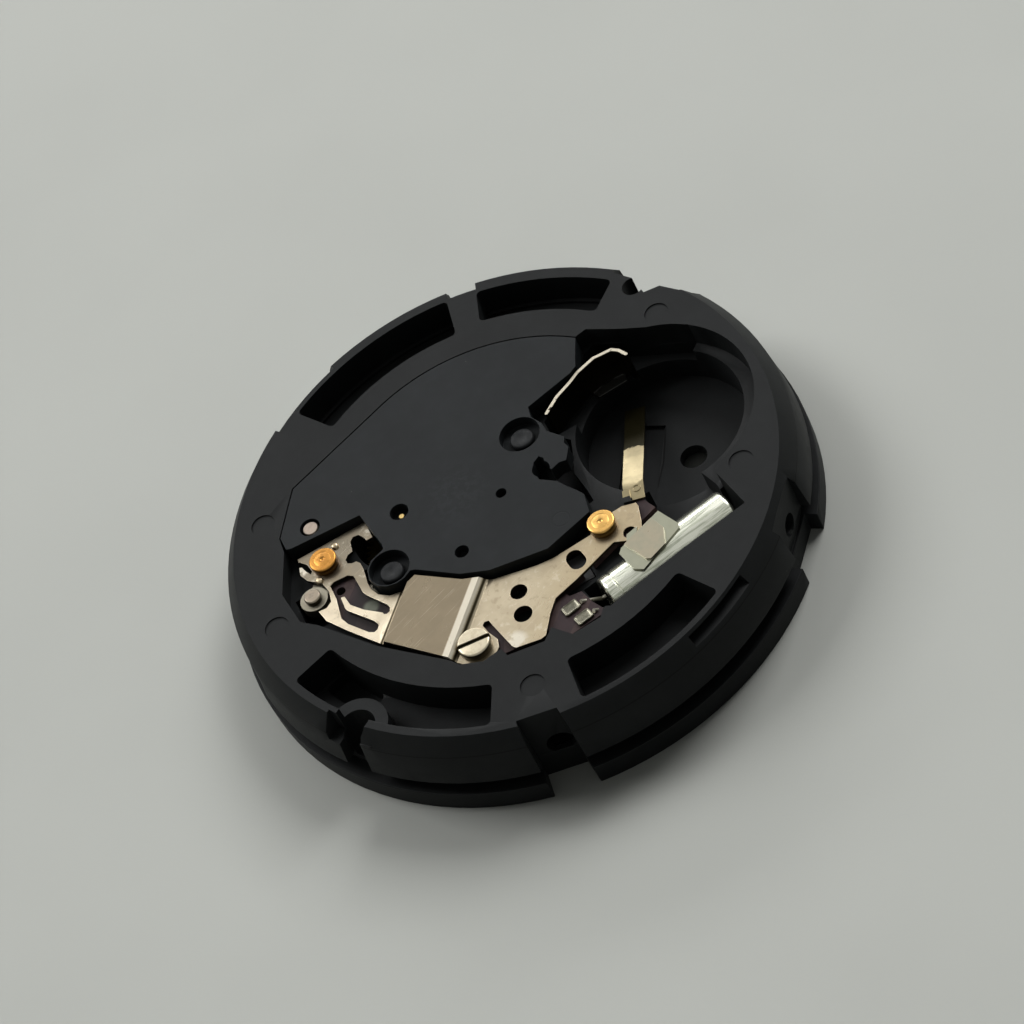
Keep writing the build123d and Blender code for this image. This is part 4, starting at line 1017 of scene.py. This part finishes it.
def settle(piece: bpy.types.Object, body: str, slot: Slot, material: bpy.types.Material,
           *nodes: str) -> bpy.types.Object:
    """Paint a new piece, tie it to its body, and hide the nodes that it stands for."""
    paint(piece, material)
    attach(piece, body)
    if nodes:
        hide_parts(*nodes)
    log.info("%s rides on %s", piece.name, body)
    return piece


def dress(material: bpy.types.Material, *nodes: str) -> None:
    """Give the own slots of CAD nodes one material."""
    for node in nodes:
        target = frame["nodes"][node]
        for holder in target.material_slots:
            holder.material = material
        if not target.material_slots:
            target.data.materials.append(material)
        log.info("%s is dressed", node)


def body_of(node: str) -> str:
    """Name of the body that a CAD node rides on."""
    return frame["nodes"][node]["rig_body"]


def stand_in(piece: bpy.types.Object, node: str, slot: Slot, material: bpy.types.Material) -> None:
    """Settle a piece that stands for a CAD node, on that node's body."""
    settle(piece, body_of(node), slot, material, node)


def rounded(node: str, width: float, slot: Slot, material: bpy.types.Material) -> None:
    """Let a copy with rounded edges stand for a CAD node."""
    stand_in(softened(node, width), node, slot, material)


def dropped(shape: Sequence[Point], radius: float, top: float) -> list[Point]:
    """Profile from pairs of a share of the radius and a drop below the top."""
    return [(share * radius, top - drop) for share, drop in shape]


def upright(spot: Point, heading: float = 0.0) -> Matrix:
    """Move to a spot in plan, after a turn to a heading in degrees."""
    return Matrix.Translation((*spot, 0)) @ Matrix.Rotation(math.radians(heading), 4, "Z")


def lying(spot: Point, level: float, heading: float) -> Matrix:
    """Move to a spot at a level, after the upright axis is laid along a heading in degrees."""
    turn = Matrix.Translation((*spot, level)) @ Matrix.Rotation(math.radians(heading), 4, "Z")
    return turn @ Matrix.Rotation(math.radians(90), 4, "Y")


# Sub-assemblies


@dataclass
class MouldedPlate:
    """The black plate and the ring under it."""

    edge: float = 0.035
    nodes: tuple[str, ...] = ("main_plate", "dial_ring")
    # painted shade darkens the crease round the outer wall and the grooves in the well
    finish: MouldedPlastic = MouldedPlastic(
        "black moulding", (0.0080, 0.0088, 0.0092), (0.0125, 0.0135, 0.0140), (0.46, 0.58), 0.11, crease=(3.17, 12.0),
        grooves=((7.24, 1.42), (6.37, -0.27), (5.66, -1.28)))

    def build(self) -> None:
        """Round the edges of both mouldings and dress them."""
        material = self.finish.build()
        for node in self.nodes:
            rounded(node, self.edge, Slot.BLACK_PLASTIC, material)


@dataclass
class TrainCover:
    """The cover over the wheels with its two stakes and its pin."""

    edge: float = 0.03
    stakes: tuple[tuple[str, Point], ...] = (
        ("cover_stake_east", (1.8267, 2.3137)), ("cover_stake_west", (-5.3928, -0.5219)))
    stake_levels: Span = (3.40, 3.66)
    stake_radius: float = 0.52
    stake_round: float = 0.13
    stake_turn: float = 78.0
    stake_points: int = 40
    stake_crisp: float = 60.0
    stake_dent: tuple[Point, ...] = ((0.45, 0.01), (0.30, 0.035), (0.12, 0.045))
    # painted shade darkens the fine ring cut in the cover's top
    finish: MouldedPlastic = MouldedPlastic(
        "cover moulding", (0.0085, 0.0100, 0.0110), (0.0135, 0.0155, 0.0170), (0.44, 0.56), 0.12, (-1.6, 1.2),
        (1.566, -2.817, 0.36))
    stake_finish: CastMetal = CastMetal(
        "heat staked plastic", (0.011, 0.012, 0.013), (0.019, 0.020, 0.021), (0.42, 0.64), 0.0, 0.10, 0.008, 0.13)
    pin_finish: TurnedMetal = TurnedMetal(
        "copper pin", (0.37, 0.305, 0.255), (0.30, 0.245, 0.205), (0.24, 0.44), (-7.5003, 3.5696), 3.88, 0.05)

    def build(self) -> None:
        """Make the stakes as pressed domes and dress the rest."""
        rounded("train_cover", self.edge, Slot.COVER_PLASTIC, self.finish.build())
        low, high = self.stake_levels
        radius, corner = self.stake_radius, self.stake_round
        profile = [(radius, low), *arc((radius - corner, high - corner), corner, 0, self.stake_turn),
                   *dropped(self.stake_dent, radius, high)]
        material = self.stake_finish.build()
        for name, spot in self.stakes:
            dome = turned(profile, circle(self.stake_points)).placed(upright(spot))
            stand_in(written(name + "_dome", dome, self.stake_crisp), name, Slot.BLACK_PLASTIC, material)
        dress(self.pin_finish.build(), "cover_pin")


@dataclass
class CircuitStrap:
    """The nickel strap with its nubs, and the board, the solder joints and the chip under it."""

    strap_edge: float = 0.02
    board_edge: float = 0.015
    pads: tuple[tuple[str, Point], ...] = (
        ("solder_joint_inner", (0.1631, -6.6522)), ("solder_joint_outer", (0.4194, -7.3861)))
    pad_sides: Point = (0.746, 0.513)
    pad_power: float = 7.0
    pad_heading: float = 10.0
    pad_levels: Span = (3.29, 3.41)
    pad_points: int = 64
    pad_crisp: float = 70.0
    pad_bead: tuple[Point, ...] = (
        (1.0, 0.05), (0.97, 0.015), (0.90, 0.0), (0.80, 0.015), (0.70, 0.03), (0.30, 0.02), (0.08, 0.02))
    nubs: tuple[Point, ...] = ((-6.964, 2.301), (-8.161, 1.069))
    nub_radius: float = 0.17
    nub_round: float = 0.11
    nub_turn: Span = (10, 84)
    nub_levels: Span = (3.49, 3.52)
    nub_points: int = 28
    nub_crisp: float = 60.0
    # the pale colour also paints the strap's highlights, and the dark colour paints shade on its sides and in its
    # folds
    strap_finish: StrapNickel = StrapNickel(
        "strap nickel", right=(0.50, 0.425, 0.31), tip=(0.41, 0.33, 0.215), panel=(0.245, 0.200, 0.140),
        left_dull=(0.25, 0.215, 0.165), left_pale=(0.74, 0.64, 0.49), pale=(0.72, 0.66, 0.54),
        stain=(0.30, 0.24, 0.165), dark=(0.035, 0.028, 0.016), spot=COIL_MIDDLE, heading=COIL_HEADING,
        panel_reach=(-1.78, 1.25), ridge_reach=(1.27, 1.64), tip_reach=(3.0, 6.5), left_reach=(-1.82, -1.78),
        left_across=(0.3, 1.5), folds=((1.68, 1.78), (-1.80, -1.71)),
        glints=((-8.583, 2.006, 0.34), (-5.499, 2.108, 0.24), (-6.104, 0.043, 0.20), (-2.356, -6.863, 0.62)),
        side_shade_levels=(3.465, 3.485))
    board_finish: CircuitLaminate = CircuitLaminate(
        "laminate", (0.036, 0.022, 0.024), (0.060, 0.037, 0.034), (0.12, 0.13, 0.10), (-6.80, -1.36), COIL_MIDDLE,
        COIL_HEADING, (-3.9, -2.2))
    solder_finish: CastMetal = CastMetal("solder", (0.19, 0.18, 0.14), (0.12, 0.115, 0.09), (0.18, 0.40))
    nub_finish: CastMetal = CastMetal("strap nubs", (0.60, 0.50, 0.35), (0.34, 0.27, 0.18), (0.20, 0.42), 1.0, 0.07)
    chip_finish: CastMetal = CastMetal("chip resin", (0.012, 0.012, 0.013), (0.02, 0.02, 0.02), (0.47, 0.69), 0.0)

    def build(self) -> None:
        """Round the strap and the board, and make the solder joints as flat pads with a bead round the rim."""
        rounded("circuit_strap", self.strap_edge, Slot.STRAP_NICKEL, self.strap_finish.build())
        rounded("circuit_board", self.board_edge, Slot.BOARD, self.board_finish.build())
        low, high = self.pad_levels
        length, width = self.pad_sides
        outline = squarish(length / 2, width / 2, self.pad_power, self.pad_points)
        material = self.solder_finish.build()
        for name, spot in self.pads:
            pad = turned([(1.0, low), *dropped(self.pad_bead, 1.0, high)], outline)
            bead = written(name + "_bead", pad.placed(upright(spot, self.pad_heading)), self.pad_crisp)
            stand_in(bead, name, Slot.SOLDER, material)
        low, high = self.nub_levels
        radius, corner = self.nub_radius, self.nub_round
        dome = [(radius, low), (radius, high), *arc((radius - corner, high), corner, *self.nub_turn)]
        material = self.nub_finish.build()
        for number, spot in enumerate(self.nubs):
            nub = turned(dome, circle(self.nub_points)).placed(upright(spot))
            settle(written(f"strap_nub_{number}", nub, self.nub_crisp), body_of("circuit_strap"),
                   Slot.STRAP_NICKEL, material)
        dress(self.chip_finish.build(), "control_chip")


@dataclass
class Fixings:
    """The two turned posts and the screw that hold the strap down."""

    posts: tuple[tuple[str, Point, Colour], ...] = (
        ("pillar_west", (-7.6401, 1.7056), (0.47, 0.220, 0.050)),
        ("pillar_east", (2.8706, -3.9156), (0.61, 0.360, 0.110)))
    dull: float = 0.74
    rough: Span = (0.24, 0.44)
    shank_radius: float = 0.35
    shank_low: float = 2.10
    head_radius: float = 0.59
    head_levels: Span = (3.50, 3.88)
    head_foot: tuple[Point, ...] = ((0.02, 0.0), (0.0, 0.02), (0.0, 0.13), (0.015, 0.15), (0.0, 0.17))
    head_ring: tuple[Point, ...] = ((0.62, 0.0), (0.60, 0.008), (0.56, 0.0))
    dimple: tuple[Point, ...] = ((0.13, 0.0), (0.10, 0.03), (0.03, 0.05))
    lip: float = 0.07
    points: int = 64
    crisp: float = 30.0
    screw_edge: float = 0.02
    screw_finish: TurnedMetal = TurnedMetal(
        "screw steel", (0.54, 0.48, 0.36), (0.44, 0.38, 0.28), (0.23, 0.43), (-3.8352, -6.0999), 3.88)

    def build(self) -> None:
        """Make the posts on a lathe profile and dress the screw."""
        low, high = self.head_levels
        radius, lip = self.head_radius, self.lip
        profile = [
            (self.shank_radius, self.shank_low), (self.shank_radius, low),
            *((radius - inset, low + rise) for inset, rise in self.head_foot),
            *arc((radius - lip, high - lip), lip, 0, 90),
            *dropped(self.head_ring, radius, high), *dropped(self.dimple, 1.0, high),
        ]
        for name, spot, brass in self.posts:
            post = turned(profile, circle(self.points)).placed(upright(spot))
            finish = TurnedMetal(name + " brass", brass, scaled(brass, self.dull), self.rough, spot, high)
            stand_in(written(name + "_turned", post, self.crisp), name, Slot.BRASS_POST, finish.build())
        rounded("plate_screw", self.screw_edge, Slot.PALE_STEEL, self.screw_finish.build())


@dataclass
class Crystal:
    """The quartz crystal's can with its rolled end, its leads and its clamp."""

    ends: tuple[Point, Point] = ((1.6496, -6.8094), (7.6203, -5.8495))
    level: float = 2.72
    radius: float = 1.0
    seal: tuple[Point, ...] = ((0.62, 0.06), (0.66, 0.0))
    rolled: float = 0.16
    groove: Span = (0.47, 0.53)
    groove_depth: float = 0.035
    groove_lip: float = 0.02
    nose: float = 0.22
    nose_turn: float = 84.0
    nose_points: int = 8
    end_face: tuple[Point, ...] = ((0.5, 0.006), (0.2, 0.0))
    points: int = 72
    crisp: float = 34.0
    clamp_edge: float = 0.018
    silver: tuple[Colour, Colour] = ((0.90, 0.90, 0.80), (0.44, 0.46, 0.37))
    silver_rough: Span = (0.15, 0.34)
    wire: tuple[Colour, Colour] = ((0.50, 0.48, 0.42), (0.34, 0.32, 0.27))
    wire_rough: Span = (0.27, 0.46)
    clamp_finish: LayeredTin = LayeredTin(
        "clamp tin", (0.315, 0.315, 0.245), (0.35, 0.310, 0.235), (3.83, 3.85))

    def build(self) -> None:
        """Make the can on a lathe profile along its axis, and dress the leads and the clamp."""
        start, end = self.ends
        length = math.dist(start, end)
        heading = math.degrees(math.atan2(end[1] - start[1], end[0] - start[0]))
        radius, rolled, nose, lip = self.radius, self.rolled, self.nose, self.groove_lip
        groove_start, groove_end = self.groove
        profile = [
            *self.seal, *arc((radius - rolled, rolled), rolled, -90, 0), (radius, groove_start - lip),
            (radius - self.groove_depth, groove_start), (radius - self.groove_depth, groove_end),
            (radius, groove_end + lip), (radius, length / 2),
            *arc((radius - nose, length - nose), nose, 0, self.nose_turn, self.nose_points),
            *dropped(self.end_face, 1.0, length),
        ]
        can = turned(profile, circle(self.points)).placed(lying(start, self.level, heading))
        silver = DrawnCan("drawn nickel silver", *self.silver, self.silver_rough, heading)
        stand_in(written("crystal_can_drawn", can, self.crisp), "crystal_can", Slot.CRYSTAL_NICKEL, silver.build())
        wire = DrawnCan("lead wire", *self.wire, self.wire_rough, heading)
        dress(wire.build(), "crystal_lead_inner", "crystal_lead_outer")
        rounded("crystal_clamp", self.clamp_edge, Slot.CLAMP_TIN, self.clamp_finish.build())


@dataclass
class Contacts:
    """The spring leaf in the battery well and the contact strip at its side."""

    edge: float = 0.015
    # past the line the leaf is painted near black, as shade
    leaf_finish: MetalShadedPastLine = MetalShadedPastLine(
        "leaf spring", (0.275, 0.230, 0.138), (0.014, 0.012, 0.005), (0.24, 0.42), (4.4969, -3.4135), 71.4,
        (3.39, 3.49))
    # the strip's pale top edge carries a painted highlight
    strip_finish: EdgedStrip = EdgedStrip(
        "contact strip", (0.46, 0.42, 0.34), (0.020, 0.016, 0.011), (0.06, 0.06, 0.058), (3.75, 3.77), (2.2, 2.3))

    def build(self) -> None:
        """Round both strips and dress them."""
        rounded("minus_leaf", self.edge, Slot.LEAF_SPRING, self.leaf_finish.build())
        rounded("plus_contact", self.edge, Slot.LEAF_SPRING, self.strip_finish.build())


@dataclass
class Motor:
    """The coil on its core, the stator and the rotor's magnet."""

    level: float = 2.72
    length: float = 2.8
    radius: float = 0.75
    wire_rise: float = 0.03
    turns: int = 26
    turn_points: int = 8
    bore: float = 0.50
    cheek_radius: float = 0.84
    cheek: float = 0.10
    cheek_cut: float = 0.02
    points: int = 40
    wire_crisp: float = 80.0
    cheek_crisp: float = 30.0
    wire_finish: WoundWire = WoundWire("enamelled wire", (0.62, 0.20, 0.07), (0.40, 0.10, 0.035), COIL_HEADING)
    bobbin_finish: MouldedPlastic = MouldedPlastic(
        "bobbin moulding", (0.02, 0.02, 0.02), (0.03, 0.03, 0.03), (0.44, 0.56), 0.5)
    iron_finish: StainedNickel = StainedNickel(
        "soft iron", (0.52, 0.51, 0.50), (0.38, 0.37, 0.35), COIL_HEADING, (0.31, 0.48))
    magnet_finish: CastMetal = CastMetal(
        "sintered magnet", (0.10, 0.10, 0.105), (0.05, 0.05, 0.055), (0.32, 0.54))

    def build(self) -> None:
        """Wind the coil between its cheeks and dress the iron. The winding's radius is a row of half sine waves."""
        half = self.length / 2
        share = np.linspace(-1, 1, self.turns * self.turn_points + 1)
        ridge = self.radius - self.wire_rise + self.wire_rise * np.abs(np.sin(share * self.turns * math.pi / 2))
        outside = zip(ridge.tolist(), (share * half).tolist())
        axis = lying(COIL_MIDDLE, self.level, COIL_HEADING)
        winding = turned([(self.bore, -half), *outside, (self.bore, half)], circle(self.points), True).placed(axis)
        stand_in(written("coil_winding_turns", winding, self.wire_crisp), "coil_winding", Slot.COIL_WIRE,
                 self.wire_finish.build())
        cheeks = self.ring(-half - self.cheek, -half).joined(self.ring(half, half + self.cheek))
        settle(written("coil_cheeks", cheeks.placed(axis), self.cheek_crisp), body_of("coil_winding"),
               Slot.BLACK_PLASTIC, self.bobbin_finish.build())
        dress(self.iron_finish.build(), "coil_core", "stator")
        dress(self.magnet_finish.build(), "rotor_magnet")

    def ring(self, low: float, high: float) -> Solid:
        """One cheek of the bobbin, between two levels of its axis, with its outer edges cut off."""
        bore, radius, cut = self.bore, self.cheek_radius, self.cheek_cut
        profile = [(bore, low), (radius - cut, low), (radius, low + cut), (radius, high - cut), (radius - cut, high),
                   (bore, high)]
        return turned(profile, circle(self.points), True)


@dataclass
class Train:
    """The wheels, each with a finish about its own axis."""

    brass: tuple[Colour, Colour] = ((0.83, 0.62, 0.27), (0.66, 0.46, 0.18))
    brass_rough: Span = (0.28, 0.38)
    resin: tuple[Colour, Colour] = ((0.66, 0.64, 0.58), (0.52, 0.50, 0.45))
    resin_rough: Span = (0.42, 0.52)
    brass_wheels: tuple[tuple[str, Point], ...] = (
        ("seconds_wheel", (0, 0)), ("third_wheel", (-1.7685, 0.6442)), ("centre_wheel", (0, 0)),
        ("setting_wheel", (-3.9843, 1.8640)))
    resin_wheels: tuple[tuple[str, Point], ...] = (
        ("fifth_wheel", (-0.6035, -1.7929)), ("minute_wheel", (-0.4718, 1.7370)), ("hour_wheel", (0, 0)),
        ("rotor_pinion", (-2.5222, -1.7044)))
    arbor_finish: WheelStock = WheelStock(
        "arbor steel", (0.58, 0.58, 0.58), (0.42, 0.42, 0.42), (0.25, 0.35), 1.0, (0, 0))

    def build(self) -> None:
        """Dress every wheel."""
        for node, spot in self.brass_wheels:
            dress(WheelStock(node + " brass", *self.brass, self.brass_rough, 1.0, spot).build(), node)
        for node, spot in self.resin_wheels:
            dress(WheelStock(node + " resin", *self.resin, self.resin_rough, 0.0, spot).build(), node)
        dress(self.arbor_finish.build(), "seconds_arbor")


@dataclass
class SettingWorks:
    """The lever, its pin, the yoke and the sliding pinion, and the guard under the hour wheel."""

    edge: float = 0.02
    sheets: tuple[str, ...] = ("setting_lever", "yoke", "guard_plate", "sliding_pinion")
    screws: tuple[str, ...] = ("guard_screw_east", "guard_screw_west", "guard_screw_south")
    pin_finish: TurnedMetal = TurnedMetal(
        "lever pin steel", (0.28, 0.235, 0.185), (0.21, 0.18, 0.14), (0.23, 0.43), (-8.7002, 0.3495), 3.76)
    sheet_finish: StainedNickel = StainedNickel(
        "lever sheet", (0.24, 0.22, 0.175), (0.19, 0.17, 0.13), 20, (0.29, 0.46))
    screw_finish: TurnedMetal = TurnedMetal(
        "guard screw steel", (0.60, 0.60, 0.60), (0.42, 0.42, 0.42), (0.24, 0.44), (0, 0), 1.0, 0.05)

    def build(self) -> None:
        """Round the pin, and dress the sheets and the screws."""
        rounded("setting_lever_pin", self.edge, Slot.PALE_STEEL, self.pin_finish.build())
        dress(self.sheet_finish.build(), *self.sheets)
        dress(self.screw_finish.build(), *self.screws)


# Stage


@dataclass(frozen=True)
class Panel:
    """A soft lamp: its direction in degrees, its distance and sides in metres, and its watts."""

    title: str
    azimuth: float
    elevation: float
    distance: float
    width: float
    height: float
    power: float


@dataclass
class Studio:
    """The pale floor, the soft lamps and the camera of the photograph."""

    paper: PalePaper = PalePaper("pale paper", (0.500, 0.512, 0.478))
    floor_half: float = 1.6
    backdrop: Colour = (0.50, 0.51, 0.48)
    room: Colour = (0.98, 1.0, 0.98)
    fill: float = 0.08
    lamps: tuple[Panel, ...] = (
        Panel("east window", 38, 42, 0.90, 0.42, 0.42, 4.9), Panel("west window", 132, 42, 0.90, 0.42, 0.42, 3.7),
        Panel("back panel", 88, 50, 0.95, 0.90, 0.90, 1.1), Panel("low window", 88, 23, 0.95, 0.90, 0.16, 2.7))
    target: tuple[float, float, float] = (0.0, 0.0, 3.9)
    elevation: float = 48.0
    roll: float = -29.57
    distance: float = 161.24
    slide: tuple[float, float] = (0.443, -0.769)
    focal_pixels: float = 4000.0
    frame_pixels: float = 1024.0
    sensor: float = 36.0
    clip: Span = (0.005, 20)

    def build(self) -> None:
        """Lay the floor, hang the lamps and set the camera."""
        self.floor()
        self.world()
        for panel in self.lamps:
            self.lamp(panel)
        self.camera()

    def floor(self) -> None:
        """Lay a wide sheet of pale paper."""
        half = self.floor_half
        corners = [(-half, -half, 0), (half, -half, 0), (half, half, 0), (-half, half, 0)]
        mesh = bpy.data.meshes.new("floor")
        mesh.from_pydata(corners, [], [(0, 1, 2, 3)])
        sheet = bpy.data.objects.new("floor", mesh)
        bpy.context.scene.collection.objects.link(sheet)
        paint(sheet, self.paper.build())

    def world(self) -> None:
        """Fill the room with even light, and show the backdrop's colour to the camera and to gloss."""
        net = Network(bpy.data.worlds.new("room"))
        bpy.context.scene.world = net.owner
        path = net.node("ShaderNodeLightPath", output="Is Camera Ray")
        shown = path.most(path.other("Is Glossy Ray")).most(path.other("Is Transmission Ray"))
        room = net.node("ShaderNodeBackground", None, {"Color": (*self.room, 1), "Strength": self.fill})
        seen = net.node("ShaderNodeBackground", None, {"Color": (*self.backdrop, 1)})
        both = net.node("ShaderNodeMixShader", None, {0: shown, 1: room, 2: seen})
        net.node("ShaderNodeOutputWorld", None, {"Surface": both})

    def lamp(self, panel: Panel) -> None:
        """Hang one panel that faces the part."""
        data = bpy.data.lights.new(panel.title, "AREA")
        data.shape = "RECTANGLE"
        data.size, data.size_y = panel.width, panel.height
        data.energy = panel.power
        lamp = bpy.data.objects.new(panel.title, data)
        level, turn = math.radians(panel.elevation), math.radians(panel.azimuth)
        lamp.location = Vector((math.cos(level) * math.cos(turn), math.cos(level) * math.sin(turn), math.sin(level)))
        lamp.location *= panel.distance
        lamp.rotation_euler = (-lamp.location).to_track_quat("-Z", "Y").to_euler()
        bpy.context.scene.collection.objects.link(lamp)

    def camera(self) -> None:
        """Set the camera at the photograph's angle, rolled as the photograph is."""
        tilt = math.radians(self.elevation)
        roll = math.radians(self.roll)
        back = Vector((0, -math.cos(tilt), math.sin(tilt)))
        right = Vector((1, 0, 0))
        up = back.cross(right)
        across = right * math.cos(roll) + up * math.sin(roll)
        along = -right * math.sin(roll) + up * math.cos(roll)
        place = Vector(self.target) + back * self.distance + across * self.slide[0] + along * self.slide[1]
        data = bpy.data.cameras.new("camera")
        data.sensor_width = self.sensor
        data.lens = self.focal_pixels / self.frame_pixels * self.sensor
        data.clip_start, data.clip_end = self.clip
        camera = bpy.data.objects.new("camera", data)
        camera.matrix_world = Matrix.Translation(place * MM) @ Matrix((across, along, back)).transposed().to_4x4()
        bpy.context.scene.collection.objects.link(camera)
        bpy.context.scene.camera = camera


def main() -> None:
    """Build the stage and every sub-assembly in order."""
    logging.basicConfig(level=logging.INFO, format="%(name)s: %(message)s")
    for part in (Studio(), MouldedPlate(), TrainCover(), CircuitStrap(), Fixings(), Crystal(), Contacts(), Motor(),
                 Train(), SettingWorks()):
        part.build()
        log.info("%s is done", type(part).__name__)
    bpy.context.scene.view_settings.view_transform = "Standard"


if __name__ == "__main__":
    main()
